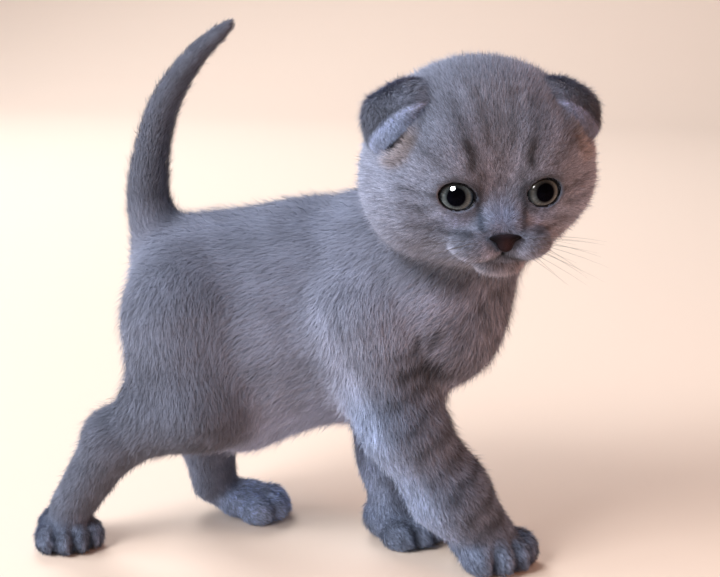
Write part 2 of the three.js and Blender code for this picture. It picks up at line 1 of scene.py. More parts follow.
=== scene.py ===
# %% [markdown]
# # A Scottish fold kitten in mid walk
# The model is a life-size kitten of about five weeks, as a museum would show it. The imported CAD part
# is the fixed frame: its outline is the outline of the coat. This script puts a skin inside it, eyes
# in the skin, and a coat of short plush fur on it.
# Lengths below are in millimetres, in a working frame that the eyes of the CAD part fix, because
# most sizes of a kitten are a few millimetres; the meshes themselves are made in metres.

# %% Frame and working scale
import bpy
import math
import numpy as np
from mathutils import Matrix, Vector


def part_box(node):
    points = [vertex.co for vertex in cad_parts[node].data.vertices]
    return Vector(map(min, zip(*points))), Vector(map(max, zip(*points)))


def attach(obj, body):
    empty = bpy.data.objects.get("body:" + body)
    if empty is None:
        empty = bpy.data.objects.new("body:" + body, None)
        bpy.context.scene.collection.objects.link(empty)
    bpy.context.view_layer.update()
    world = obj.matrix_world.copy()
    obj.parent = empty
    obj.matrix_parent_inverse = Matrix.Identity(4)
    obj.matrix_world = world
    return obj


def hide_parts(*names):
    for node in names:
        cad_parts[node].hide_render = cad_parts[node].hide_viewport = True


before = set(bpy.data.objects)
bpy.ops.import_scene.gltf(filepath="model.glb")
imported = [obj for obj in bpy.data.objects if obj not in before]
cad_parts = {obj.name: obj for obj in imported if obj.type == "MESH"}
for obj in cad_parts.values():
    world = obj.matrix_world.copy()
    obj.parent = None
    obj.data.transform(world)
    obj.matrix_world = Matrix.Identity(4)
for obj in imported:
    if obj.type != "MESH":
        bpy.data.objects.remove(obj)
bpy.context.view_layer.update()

RNG = np.random.default_rng(41)
MM = 0.001
LEFT, RIGHT = 1, -1
HEAD_CENTRE = np.array([40.2, -22.0, 123.2])
EYE_CENTRE = np.array([21.0, 10.3, -3.0])
EYE_RADIUS = 7.0
HEAD_HALF_WIDTH = 33.0
BACK_HEIGHT = 110.5
BODY_HALF_WIDTH = 29.0
PAW_WIDTH = 22.5


def turned(yaw, roll=0.0):
    """The axes of a frame turned about Z, then rolled about its own X, as columns."""
    y, r = math.radians(yaw), math.radians(roll)
    about_z = np.array([[math.cos(y), -math.sin(y), 0], [math.sin(y), math.cos(y), 0], [0, 0, 1]])
    about_x = np.array([[1, 0, 0], [0, math.cos(r), -math.sin(r)], [0, math.sin(r), math.cos(r)]])
    return about_z @ about_x


HEAD_YAW, HEAD_ROLL = -73, 1.5
HEAD_AXES = turned(HEAD_YAW, HEAD_ROLL)


def to_head(p):
    return (p - HEAD_CENTRE) @ HEAD_AXES


def from_head(p):
    return np.asarray(p, float) @ HEAD_AXES.T + HEAD_CENTRE


def node_middle(name):
    low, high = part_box(name)
    return np.array((low + high) / 2) / MM


eyes_middle = (node_middle("eye_left") + node_middle("eye_right")) / 2
SHIFT = eyes_middle - from_head([EYE_CENTRE[0], 0, EYE_CENTRE[2]])


def to_row(p):
    """From the working frame in millimetres to the row's frame in metres."""
    return (np.asarray(p, float) + SHIFT) * MM


# %% [markdown]
# ## Shapes as distance fields
# The kitten is round everywhere, and its parts flow into each other. Sculpted patches or a remesh
# of the faceted CAD nodes would both show seams or facets. A distance field avoids this: each muscle
# mass is an ellipsoid or a tapering limb, near ones flow together over a set width, and the surface
# is where the sum of them is zero. The sizes are those of the CAD part.

# %% Field functions


def flow(a, b, k):
    """The union of two fields, which flow together where they are closer than k."""
    h = np.maximum(k - np.abs(a - b), 0) / k
    return np.minimum(a, b) - h * h * k / 4


def ellipsoid(centre, radii):
    c, r = np.array(centre, float), np.array(radii, float)

    def field(p):
        q = (p - c) / r
        near = np.sqrt((q * q).sum(-1))
        slope = np.sqrt(((q / r) ** 2).sum(-1))
        return near * (near - 1) / np.maximum(slope, 1e-6)

    return field


def limb(start, end, start_radius, end_radius):
    a = np.array(start, float)
    along = np.array(end, float) - a

    def field(p):
        q = p - a
        share = np.clip(q @ along / (along @ along), 0, 1)
        off = q - share[:, None] * along
        return np.sqrt((off * off).sum(-1)) - (start_radius + (end_radius - start_radius) * share)

    return field


def joined(*parts):
    def field(p):
        value = None
        for part, k in parts:
            value = part(p) if value is None else flow(value, part(p), k)
        return value

    return field


def in_head(field):
    return lambda p: field(to_head(p))


def unit(v):
    v = np.asarray(v, float)
    return v / np.maximum(np.linalg.norm(v, axis=-1, keepdims=True), 1e-12)


def smooth_step(x, low, high):
    t = np.clip((x - low) / (high - low), 0, 1)
    return t * t * (3 - 2 * t)


def both(make):
    """The same form on the left and on the right."""
    return [make(LEFT), make(RIGHT)]


# %% [markdown]
# ## The body's shapes
# Torso, neck, head, four legs with toes, and the root of the tail. They're kept as separate fields,
# because the coat's length, lie and colour are set part by part later.

# %% Torso, head, legs and tail
torso_field = joined(
    (ellipsoid([-49, 0, 73], [18.5, 22, 28]), 1),
    (ellipsoid([-34, 0, BACK_HEIGHT - 44.5], [28, BODY_HALF_WIDTH - 1, 38.5]), 14),
    (ellipsoid([-10, -1, BACK_HEIGHT - 36], [30, BODY_HALF_WIDTH, 36]), 14),
    (ellipsoid([12, -4, BACK_HEIGHT - 33], [24, BODY_HALF_WIDTH - 3, 35]), 14),
    (ellipsoid([30, -12, 82], [20, 19.5, 26]), 12),
)
neck_field = limb([21, -8, 94], [38, -17, 110], 22, 21.5)

# The head is turned to the right: there the coat bunches up at the cheek, at the left it's drawn flat.
cheek_right = ellipsoid([3, -14.5, -5], [21, HEAD_HALF_WIDTH - 14.5, 16])
cheek_left = ellipsoid([3, 11.5, -4.5], [20, HEAD_HALF_WIDTH - 16, 13.5])
brows = both(lambda s: ellipsoid([19.5, 10 * s, 7.5], [8.5, 10, 7.5]))
lids = both(lambda s: ellipsoid([21, 10.3 * s, -3], [EYE_RADIUS + 1.3, EYE_RADIUS + 1.7, EYE_RADIUS + 0.9]))
lips = both(lambda s: ellipsoid([27.2, 6.6 * s, -16], [7.4, 7.4, 5]))
bridges = both(lambda s: limb([21, 2 * s, -1], [28.6, 2.2 * s, -10], 4.8, 3.7))
head_field = in_head(joined(
    (ellipsoid([-2, 0, 2.8], [31.5, HEAD_HALF_WIDTH - 1.5, 27.8]), 1),
    (cheek_left, 10), (cheek_right, 10),
    (brows[0], 9), (brows[1], 9),
    (ellipsoid([5, -4, -11], [17, 24.5, 15.5]), 8),
    (ellipsoid([16.5, 0, -14.8], [14, 15.5, 9.4]), 7),
    (bridges[0], 4), (bridges[1], 3),
    (lids[0], 3), (lids[1], 3),
    (lips[0], 3), (lips[1], 2),
    (ellipsoid([24, 0, -21.6], [6, 7, 4]), 2.2),
))

# A hind leg also has the back of its thigh, from the seat down.
LEGS = {
    "front_right": dict(joints=[[9, -17, 78], [18.5, -20, 48], [31.5, -13, 24.5], [41, -8, 10.5]],
                        radii=[19, 13.2, 12, 9.8], paw=[43, -5.5, 0], turn=-45, width=PAW_WIDTH * 1.06),
    "front_left": dict(joints=[[12, 15, 74], [4, 18.5, 50], [10, 13, 25.5], [12.5, 10.5, 10.5]],
                       radii=[18, 13.5, 10.2, 9.4], paw=[14.5, 8.5, 0], turn=-30, width=PAW_WIDTH),
    "hind_right": dict(joints=[[-46, -12, 74], [-41, -18, 51], [-68.8, -16.5, 36.5], [-84.6, -14, 12]],
                       radii=[21.5, 16, 10, 7.4], paw=[-86.3, -14, 0], turn=-60, width=PAW_WIDTH * 0.9,
                       thigh=([-48, -13, 66], [-53.5, -15.5, 50], 17.5, 14)),
    "hind_left": dict(joints=[[-43, 12, 74], [-35, 19, 49], [-51, 21, 27], [-48.5, 20.5, 10.5]],
                      radii=[21, 14, 9.6, 8.2], paw=[-36, 19.3, 0], turn=-6, width=PAW_WIDTH * 0.9,
                      thigh=([-44, 13, 66], [-46, 16, 48], 17, 12)),
}
TOES = [(0.2, -0.36), (0.34, -0.125), (0.34, 0.125), (0.2, 0.36)]  # forward and across, in widths


def leg_field(leg):
    j, r = leg["joints"], leg["radii"]
    thigh = [(limb(*leg["thigh"]), 7)] if "thigh" in leg else []
    return joined((limb(j[0], j[1], r[0], r[1]), 1), (limb(j[1], j[2], r[1], r[2]), 7),
                  (limb(j[2], j[3], r[2], r[3]), 6), *thigh)


def paw_field(leg):
    w, axes, place = leg["width"], turned(leg["turn"]), np.array(leg["paw"], float)
    toes = [(ellipsoid([w * f, w * a, w * 0.19], [w * 0.27, w * 0.165, w * 0.24]), 0.9) for f, a in TOES]
    foot = joined(*toes, (ellipsoid([-w * 0.12, 0, w * 0.26], [w * 0.47, w * 0.42, w * 0.3]), 2.2))
    return lambda p: foot((p - place) @ axes)


leg_fields = {name: leg_field(leg) for name, leg in LEGS.items()}
paw_fields = {name: paw_field(leg) for name, leg in LEGS.items()}
whole_legs = [joined((leg_fields[n], 1), (paw_fields[n], 4)) for n in LEGS]

TAIL_LINE = np.array([[-56, 0, 86], [-60.6, 0, 101], [-60.8, 0, 115],
                      [-56.3, 0, 133], [-47, 0, 147.8], [-36, 0, 158]], float)


def catmull(points, count):
    """Evenly stepped points along a smooth curve through the given ones."""
    p = np.vstack([2 * points[0] - points[1], points, 2 * points[-1] - points[-2]])
    t = np.linspace(0, len(points) - 1, count * 8)
    i = np.minimum(t.astype(int), len(points) - 2)
    u = (t - i)[:, None]
    a, b, c, d = p[i], p[i + 1], p[i + 2], p[i + 3]
    line = 0.5 * (2 * b + (c - a) * u + (2 * a - 5 * b + 4 * c - d) * u**2 + (3 * b - a - 3 * c + d) * u**3)
    length = np.concatenate([[0], np.cumsum(np.linalg.norm(np.diff(line, axis=0), axis=1))])
    even = np.linspace(0, length[-1], count)
    return np.stack([np.interp(even, length, line[:, n]) for n in range(3)], 1)


TAIL_POINTS, TAIL_ROOT_RADIUS, TAIL_TIP_RADIUS = 19, 8.8, 2.6
tail_line = catmull(TAIL_LINE, TAIL_POINTS)
tail_taper = np.linspace(0, 1, TAIL_POINTS) ** 1.3
tail_radius = TAIL_ROOT_RADIUS + (TAIL_TIP_RADIUS - TAIL_ROOT_RADIUS) * tail_taper
tail_field = joined(*[(limb(tail_line[i], tail_line[i + 1], tail_radius[i], tail_radius[i + 1]), 1.5)
                      for i in range(TAIL_POINTS - 1)])
body_field = joined((torso_field, 1), (neck_field, 14), *[(f, 7) for f in whole_legs],
                    (tail_field, 9), (head_field, 4.5))
print(len(whole_legs), "legs, tail of", len(tail_line), "points")

# %% [markdown]
# ## How deep the coat is
# The skin lies under the coat's outline by the depth of the fur: most on the back and the flanks,
# least on the muzzle, the lids and the feet. Each part has its own depth, and a point takes a mix of
# them by how near it is to each part, so that the skin has no steps.

# %% Parts and their mix
PARTS = ["torso", "neck", "head", *[f"{n}_leg" for n in LEGS], *[f"{n}_paw" for n in LEGS], "tail"]
PART_FIELDS = [torso_field, neck_field, head_field, *leg_fields.values(), *paw_fields.values(), tail_field]
TORSO, NECK, HEAD, TAIL = 0, 1, 2, 11
FORE_LEGS, ALL_PAWS = slice(3, 5), slice(7, 11)
FIRST_LEG, FIRST_PAW = 3, 7
COAT_DEPTH = dict(torso=3.5, neck=3.5, head=2.7, paw=1.0)
FOOT_DEPTH, THIGH_EXTRA = 1.7, 1.7
TAIL_ROOT_DEPTH, TAIL_TIP_LESS = 2.7, 1.5
FACE_LESS, LID_DEPTH, MUZZLE_DEPTH, CHIN_EXTRA, CUP_DEPTH = 1.3, 0.55, 0.8, 1.4, 0.8


def part_shares(p):
    """How much each part has of each point: rows of shares that add up to 1."""
    values = np.stack([field(p) for field in PART_FIELDS], 1)
    lowest = values.min(1, keepdims=True)
    share = np.exp(-(values - lowest) / 2.2)
    return share / share.sum(1, keepdims=True)


def face_share(p):
    """1 on the face, 0 at the back and sides of the head."""
    q = to_head(p)
    return smooth_step(q[:, 0], 8, 26) * (1 - 0.5 * smooth_step(q[:, 2], 8, 20))


def eye_share(p):
    """1 close round the eyes."""
    q = to_head(p)
    q = np.stack([q[:, 0], np.abs(q[:, 1]), q[:, 2]], 1) - [26.5, 11.5, -3]
    return 1 - smooth_step(np.sqrt((q * q).sum(1)), 5.5, 11)


def muzzle_share(p):
    q = to_head(p) - [33, 0, -16]
    return 1 - smooth_step(np.sqrt((q * q / [1.2, 1, 1]).sum(1)), 6, 13)


# The frame of an ear, on the left of the head: X forward over the skull, Y along the crest of the
# fold, Z away from the skull, from the skull's point under the crest.
EAR_PLACE = np.array([11.5, 25, 14.6])
ear_out = unit([0.41, 0.73, 0.55])
ear_forward = unit(np.cross([-0.38, 0.69, -0.62], ear_out))
EAR_AXES = np.stack([ear_forward, np.cross(ear_out, ear_forward), ear_out])
ear_cup = ellipsoid([5.0, 0.5, -1.4], [4.0, 5.6, 2.3])


def to_ear(p, side):
    return (to_head(p) * [1, side, 1] - EAR_PLACE) @ EAR_AXES.T


def from_ear(q, side):
    return from_head((q @ EAR_AXES + EAR_PLACE) * [1, side, 1])


def near_ear(p, centre, radii, low=0.6, high=1.2):
    """1 close to a spot of either ear's frame."""
    value = [np.linalg.norm((to_ear(p, side) - centre) / radii, axis=1) for side in (LEFT, RIGHT)]
    return 1 - smooth_step(np.minimum(*value), low, high)


def coat_depth(p, shares):
    leg_height = smooth_step(p[:, 2], 14, 52)
    depth = np.zeros(len(p))
    for i, part in enumerate(PARTS):
        if part.endswith("_leg"):
            depth += shares[:, i] * (FOOT_DEPTH + THIGH_EXTRA * leg_height)
        elif part.endswith("_paw"):
            depth += shares[:, i] * COAT_DEPTH["paw"]
        elif part == "tail":
            depth += shares[:, i] * (TAIL_ROOT_DEPTH - TAIL_TIP_LESS * smooth_step(p[:, 2], 118, 156))
        else:
            depth += shares[:, i] * COAT_DEPTH[part]
    on_head = shares[:, HEAD]
    depth -= on_head * face_share(p) * FACE_LESS
    near_eye = on_head * eye_share(p)
    depth = depth * (1 - near_eye) + LID_DEPTH * near_eye
    near_muzzle = on_head * muzzle_share(p)
    chin = smooth_step(-to_head(p)[:, 2], 18.6, 22)
    depth = depth * (1 - near_muzzle) + (MUZZLE_DEPTH + CHIN_EXTRA * chin) * near_muzzle
    in_cup = on_head * near_ear(p, [6, 0.5, -2], [6, 7.5, 6])
    return depth * (1 - in_cup) + CUP_DEPTH * in_cup


print(len(PARTS), "parts share the coat")

# %% [markdown]
# ## Eye openings, nose, mouth and ear cups
# The skin is cut where the real one opens: an almond before each eye, a seat for the nose leather, the
# line of the mouth, which runs down from the nose and parts to both sides, and a hollow under the
# flap of each ear.

# %% Cuts in the skin
OPENING = dict(width=4.85, up=4.05, down=3.85)
EYE_OUTWARD, EYE_TILT = 12.0, 9.0  # degrees
ALMOND_POWER = 1.9
SKIN_GAP = 0.05  # between the skin and what sits in it
SOLE_LEVEL = 0.75


def eye_frame(side):
    """The axes and centre of an eye: X along its gaze, Y to the kitten's left, Z up."""
    return HEAD_AXES @ turned(EYE_OUTWARD * side), from_head(EYE_CENTRE * [1, side, 1])


def opening_value(y, z):
    """Below 0 inside the almond. y runs away from the nose; the inner corner is low and pointed."""
    tilt = math.radians(EYE_TILT)
    a = y * math.cos(tilt) + z * math.sin(tilt)
    b = -y * math.sin(tilt) + z * math.cos(tilt)
    half = np.where(b > 0, OPENING["up"], OPENING["down"])
    corner = np.where(a < 0, 1.12, 1.0)
    across, upright = np.abs(a / (OPENING["width"] * corner)), np.abs(b / half)
    return (across**ALMOND_POWER + upright**ALMOND_POWER) ** (1 / ALMOND_POWER) - 1


def openings(p):
    """Below 0 where an eye and its opening are cut out of the skin."""
    value = np.full(len(p), 1e3)
    for side in (LEFT, RIGHT):
        axes, centre = eye_frame(side)
        q = (p - centre) @ axes
        almond = opening_value(q[:, 1] * side, q[:, 2]) * 4
        value = np.minimum(value, np.maximum(almond, 1.0 - q[:, 0]))
        ball = np.sqrt((q * q).sum(1)) - (EYE_RADIUS + 0.12)
        value = np.minimum(value, ball)
    return value


# The mouth in the face's plane, as (y, z): down from the nose, then out along the lips to a corner.
LIP_LINE = [(0, -18.2), (2.6, -19.3), (5.8, -20.2), (8.6, -20.6)]
MOUTH = [[(0, -14.9), (0, -16.8), (0, -18.2)], LIP_LINE, [(-y, z) for y, z in LIP_LINE]]


def face_point(y, z, field, start=46.0):
    """The point on a surface straight before a spot of the face, in the head's frame."""
    q = np.array([[start, y, z]])
    for _ in range(60):
        q[0, 0] -= field(from_head(q))[0] * 0.7  # shorter steps than the field gives, to be safe
    return q[0]


def skin_value(p):
    """The body's field moved inward by the coat's depth."""
    value = body_field(p)
    near = np.abs(value) < 12
    if near.any():
        q = p[near]
        value[near] += coat_depth(q, part_shares(q))
    return value


mouth_lines = [np.array([face_point(y, z, skin_value) for y, z in line]) for line in MOUTH]
mouth_field = in_head(joined(*[(limb(line[i], line[i + 1], 0.5, 0.42), 0.4)
                               for line in mouth_lines for i in range(len(line) - 1)]))
NOSE_CENTRE = np.array([33.2, 0, -13.9])
nose_shape = joined((ellipsoid(NOSE_CENTRE + [0, 0, 0.8], [2.4, 4.6, 1.6]), 1),
                    (ellipsoid(NOSE_CENTRE + [-0.1, 0, -1.2], [2.0, 2.3, 2.1]), 1.6))


def whole_skin(p):
    """The skin with its openings, mouth and ear cups, and flat under the soles."""
    value = skin_value(p)
    near = np.abs(value) < 8
    q = p[near]
    v = value[near]
    v = np.maximum(v, -openings(q))
    v = np.maximum(v, -(nose_shape(to_head(q)) - SKIN_GAP))
    v = -flow(-v, mouth_field(q), 0.7)
    for side in (LEFT, RIGHT):
        v = -flow(-v, ear_cup(to_ear(q, side)), 1.2)
    value[near] = v
    return np.maximum(value, SOLE_LEVEL - p[:, 2])


print("mouth corner at", mouth_lines[1][-1].round(1))

# %% [markdown]
# ## From field to mesh
# The field is sampled on a grid whose lines are close together at the face and wider elsewhere, and
# only near the surface. Each grid cell that the surface crosses gets one vertex, and neighbouring
# vertices are joined to four-sided faces. Then each vertex is pulled onto the surface.

# %% Grid, surface net and skin mesh


def grid_lines(low, high, fine_low, fine_high, coarse, fine):
    """Places along one axis, closer together between fine_low and fine_high."""
    a = np.arange(low, fine_low, coarse)
    b = np.arange(fine_low, fine_high, fine)
    c = np.arange(fine_high, high + coarse, coarse)
    return np.concatenate([a, b, c])


def sampled(field, lines, band):
    """The field on the grid: exact near the surface, and a rough value elsewhere."""
    shape = [len(line) for line in lines]
    step = 4
    rough_at = [np.unique(np.append(np.arange(0, n, step), n - 1)) for n in shape]
    rough = np.stack(np.meshgrid(*[line[i] for line, i in zip(lines, rough_at)], indexing="ij"), -1)
    value = field(rough.reshape(-1, 3)).reshape(rough.shape[:3])
    for axis in range(3):
        nearest = np.searchsorted(rough_at[axis], np.arange(shape[axis]), side="right") - 1
        value = np.take(value, nearest, axis)
    near = np.argwhere(np.abs(value) < band)
    points = np.stack([lines[n][near[:, n]] for n in range(3)], 1)
    out = np.empty(len(points))
    for i in range(0, len(points), 200000):
        out[i:i + 200000] = field(points[i:i + 200000])
    value[tuple(near.T)] = out
    return value


def surface_net(value, lines):
    """A vertex in each cell that the surface crosses, and a quad round each crossed edge."""
    inside = value < 0
    cells = [n - 1 for n in value.shape]
    corner = lambda a, o: a[tuple(slice(o[n], cells[n] + o[n]) for n in range(3))]
    offsets = [(x, y, z) for x in (0, 1) for y in (0, 1) for z in (0, 1)]
    count = sum(corner(inside, o).astype(np.int8) for o in offsets)
    at = np.argwhere((count > 0) & (count < 8))
    number = np.full(cells, -1, np.int32)
    number[tuple(at.T)] = np.arange(len(at))
    total, crossings = np.zeros((len(at), 3)), np.zeros(len(at))
    place = lambda i: np.stack([lines[n][i[:, n]] for n in range(3)], 1)
    for axis in range(3):
        for o in offsets:
            if o[axis]:
                continue
            end = list(o)
            end[axis] = 1
            i, j = at + o, at + end
            a, b = value[tuple(i.T)], value[tuple(j.T)]
            cross = (a < 0) != (b < 0)
            t = np.where(cross, a / np.where(cross, a - b, 1), 0)[:, None]
            total += np.where(cross[:, None], place(i) * (1 - t) + place(j) * t, 0)
            crossings += cross
    quads = []
    for axis in range(3):
        other = [(axis + 1) % 3, (axis + 2) % 3]
        first = np.take(inside, range(cells[axis]), axis)
        second = np.take(inside, range(1, cells[axis] + 1), axis)
        edges = np.argwhere(first != second)
        ok = np.all([(edges[:, n] > 0) & (edges[:, n] < cells[n]) for n in other], 0)
        edges = edges[ok]
        ring = []
        for m, n in ((0, 0), (1, 0), (1, 1), (0, 1)):
            i = edges.copy()
            i[:, other[0]] -= m
            i[:, other[1]] -= n
            ring.append(number[tuple(i.T)])
        quad = np.stack(ring, 1)
        flip = ~first[tuple(edges.T)]
        quad[flip] = quad[flip][:, ::-1]
        quads.append(quad)
    return total / crossings[:, None], np.concatenate(quads)


def gradient(field, p, step=0.12):
    return np.stack([field(p + step * e) - field(p - step * e) for e in np.eye(3)], 1) / (2 * step)


def pulled(field, p):
    """Points pulled onto the surface of a field, and its normals there."""
    g = gradient(field, p)
    move = -field(p) / np.maximum((g * g).sum(1), 0.2)
    p = p + g * np.clip(move, -0.5, 0.5)[:, None]
    g = gradient(field, p)
    return p, g / np.maximum(np.linalg.norm(g, axis=1, keepdims=True), 1e-9)


def make_mesh(name, points, faces):
    """A smooth mesh object from points in the working frame and an array of faces, all of one size."""
    mesh = bpy.data.meshes.new(name)
    mesh.vertices.add(len(points))
    mesh.vertices.foreach_set("co", to_row(points).astype(np.float32).ravel())
    count, corners = faces.shape
    mesh.loops.add(count * corners)
    mesh.loops.foreach_set("vertex_index", faces.ravel().astype(np.int32))
    mesh.polygons.add(count)
    mesh.polygons.foreach_set("loop_start", np.arange(count, dtype=np.int32) * corners)
    mesh.polygons.foreach_set("use_smooth", np.ones(count, bool))
    mesh.update(calc_edges=True)
    obj = bpy.data.objects.new(name, mesh)
    bpy.context.scene.collection.objects.link(obj)
    return obj


cell, fine_cell = ((1.25, 0.62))
grid = [grid_lines(-99, 82, 22, 68, cell, fine_cell),
        grid_lines(-62, 40, -60, -30, cell, fine_cell),
        grid_lines(-2, 164, 94, 132, cell, fine_cell)]
skin_points, skin_quads = surface_net(sampled(whole_skin, grid, 9), grid)
skin_points, skin_normals = pulled(whole_skin, skin_points)
skin_points[:, 2] = np.maximum(skin_points[:, 2], SOLE_LEVEL - SKIN_GAP)
print("skin has", len(skin_points), "vertices and", len(skin_quads), "quads")

# %% [markdown]
# ## Folded ears
# Each ear is a leaf of skin. It rises behind the ear's opening, lies forward over the skull like a cap
# and turns down at a crest, so that its free margin hangs over the cup. The leaf is a profile curve
# swept along the crest, with both ends of the crest drawn down into the coat. The left ear lies
# flatter than the right one.

# %% Ear leaves
EAR_WIDTH = 21.0
EAR_PROFILE = np.array([[-13, -3.5], [-12, -0.6], [-9.5, 2], [-4.5, 3.8],
                        [0.5, 4.2], [3.6, 3.6], [5.6, 2], [6.3, 0.3]])
EAR_SIZE = {LEFT: [0.86, 0.84, 0.76], RIGHT: [0.97, 0.95, 0.92]}
EAR_MOVE = {LEFT: [-0.4, 0.0, -1.2], RIGHT: [0.0, 0.0, -0.3]}
EAR_REACH = 0.95  # how much of the leaf's full width and depth is there
EAR_THICKNESS = 0.5
EAR_SUNK, EAR_SHORTER, EAR_END_DROP = (3.5, 4.0), (3.2, 5.5), 3.2  # at the cheek's and the brow's end
EAR_CORNER = 1.7  # how far the cheek's corner of the back stands up
EAR_STEPS = np.linspace(0, 1, 101)
ear_curve = catmull(np.stack([EAR_PROFILE[:, 0], 0 * EAR_PROFILE[:, 0], EAR_PROFILE[:, 1]], 1), 101)
ear_slope = unit(np.gradient(ear_curve, axis=0))


def ear_points(u, v, lift, side):
    """Points of a leaf: u along the crest from brow to cheek, v from the root to the free margin."""
    at = lambda table, n: np.interp(v, EAR_STEPS, table[:, n])
    rounding = np.sqrt(1 - 0.45 * np.maximum(0, (v - 0.75) / 0.25) ** 2)
    width = EAR_WIDTH * (0.8 + 0.2 * smooth_step(v, 0, 0.5)) * rounding
    sunk = np.where(u > 0, *EAR_SUNK) * u**2 + EAR_END_DROP * u**8
    middle_of_back = smooth_step(v, 0.1, 0.3) * (1 - smooth_step(v, 0.4, 0.7))
    corner = EAR_CORNER * np.exp(-(((u - 0.45) / 0.35) ** 2)) * middle_of_back
    shorter = np.where(u > 0, *EAR_SHORTER) * u**2 * smooth_step(v, 0.6, 1)
    x = at(ear_curve, 0) - at(ear_slope, 2) * lift - shorter
    z = at(ear_curve, 2) + at(ear_slope, 0) * lift + corner - sunk
    return from_ear(np.stack([x, u * width / 2, z], -1) * EAR_SIZE[side] + EAR_MOVE[side], side)


EAR_ACROSS, EAR_DOWN = 26, 48


def ear_leaf(side):
    """A closed leaf: its inner and outer face, walls round the rim, and the u and v of its grid."""
    along, down = np.linspace(-1, 1, EAR_ACROSS + 1) * EAR_REACH, np.linspace(0, EAR_REACH, EAR_DOWN + 1)
    u, v = np.meshgrid(along, down)
    thick = EAR_THICKNESS * (1 - 0.5 * u**4) * (1 - 0.4 * v)
    both_faces = [ear_points(u, v, lift * thick, side).reshape(-1, 3) for lift in (-1, 1)]
    row = EAR_ACROSS + 1
    i, j = np.meshgrid(np.arange(EAR_ACROSS), np.arange(EAR_DOWN))
    a = (j * row + i).ravel()
    count = row * (EAR_DOWN + 1)
    inner = np.stack([a, a + 1, a + row + 1, a + row], 1)
    outer = np.stack([a, a + row, a + row + 1, a + 1], 1) + count
    root, brow_end = np.arange(row), np.arange(EAR_DOWN + 1) * row
    rim = [root, brow_end, brow_end + EAR_ACROSS, root + EAR_DOWN * row]
    walls = [np.stack([e[:-1], e[1:], e[1:] + count, e[:-1] + count], 1) for e in rim]
    walls[0], walls[2] = walls[0][:, ::-1], walls[2][:, ::-1]
    quads = np.concatenate([inner, outer, *walls])
    return np.concatenate(both_faces), quads if side == LEFT else quads[:, ::-1], u, v


ear_meshes = both(ear_leaf)
print("ear leaf has", len(ear_meshes[0][1]), "quads")

# %% [markdown]
# ## Colour and markings
# The coat is blue-grey. The tail and the backs of the ears are darker, and cheeks and the patch below
# each eye are paler. Dark streaks stand over the inner corners of the eyes, and faint bands cross the
# forelegs, as a young kitten's ghost stripes do. Light and shade are painted in too: painted shade in
# the gaps between the toes, in the folds of the right elbow, under the jaw and on the chest; painted
# light on the belly, the top of the back, the shoulder, the forelegs' rear edge and the far hind leg;
# a painted highlight on each ear's crest. Skin and fur ask the same functions for their colour, so
# that both carry the same markings.

# %% Colour functions
BASE = np.array([0.220, 0.240, 0.325])
WARM = np.array([0.060, 0.022, -0.020])
LILAC = np.array([0.000, 0.042, 0.125])
COLD = np.array([-0.05, 0.05, 0.13])
# How much darker (below 0) or paler a region is than the base, and how strong its mottling is.
# Belly, back, shoulder, the forelegs' rear edge and the far hind leg and paw are made paler by painted
# light; the chest, the throat under the jaw and the gaps between the toes are made darker by painted shade.
TONE = dict(tail=-0.34, trunk=0.18, belly=0.75, back=0.08, thigh=-0.10, hock=-0.22, shoulder=0.22,
            chest=-0.16, under_jaw_shade=-1.3, foreleg=-0.12, front_edge=-0.12, rear_edge_light=0.75, paw=-0.16,
            toe_gap_shade=-0.5, far_hind_leg=0.35, far_hind_paw=1.1, brow=-0.26, temple=0.12, whisker_row=-0.55)
MOTTLING = dict(coat=0.06, fine=0.05, body=0.09, head=0.09, chest=0.34, feet=0.14)
FORE_BANDS, HIND_BANDS = -0.52, -0.15
TOE_GAPS = (-0.245, 0, 0.245)  # across the paw, in widths
PALE_BAND_SPACING = 8.6


def waves(p, scale, seed):
    """A soft, cheap noise: the sum of a few waves in random directions, from about -1 to 1."""
    rng = np.random.default_rng(seed)
    total = np.zeros(len(p))
    for _ in range(7):
        way = rng.normal(size=3)
        way *= rng.uniform(0.6, 1.8) / np.linalg.norm(way) / scale
        total += np.sin(p @ way * 2 * math.pi + rng.uniform(0, 7))
    return total / 3.5


def line_distance(q, points):
    """Distance to a broken line, in the face's plane or in space."""
    best = np.full(len(q), 1e3)
    for a, b in zip(points[:-1], points[1:]):
        a, b = np.array(a, float), np.array(b, float)
        t = np.clip((q - a) @ (b - a) / ((b - a) @ (b - a)), 0, 1)
        best = np.minimum(best, np.linalg.norm(q - a - t[:, None] * (b - a), axis=1))
    return best


def bump_at(x, centre, width):
    """1 at the centre, falling softly to 0 on both sides."""
    return np.exp(-(((x - centre) / width) ** 2))


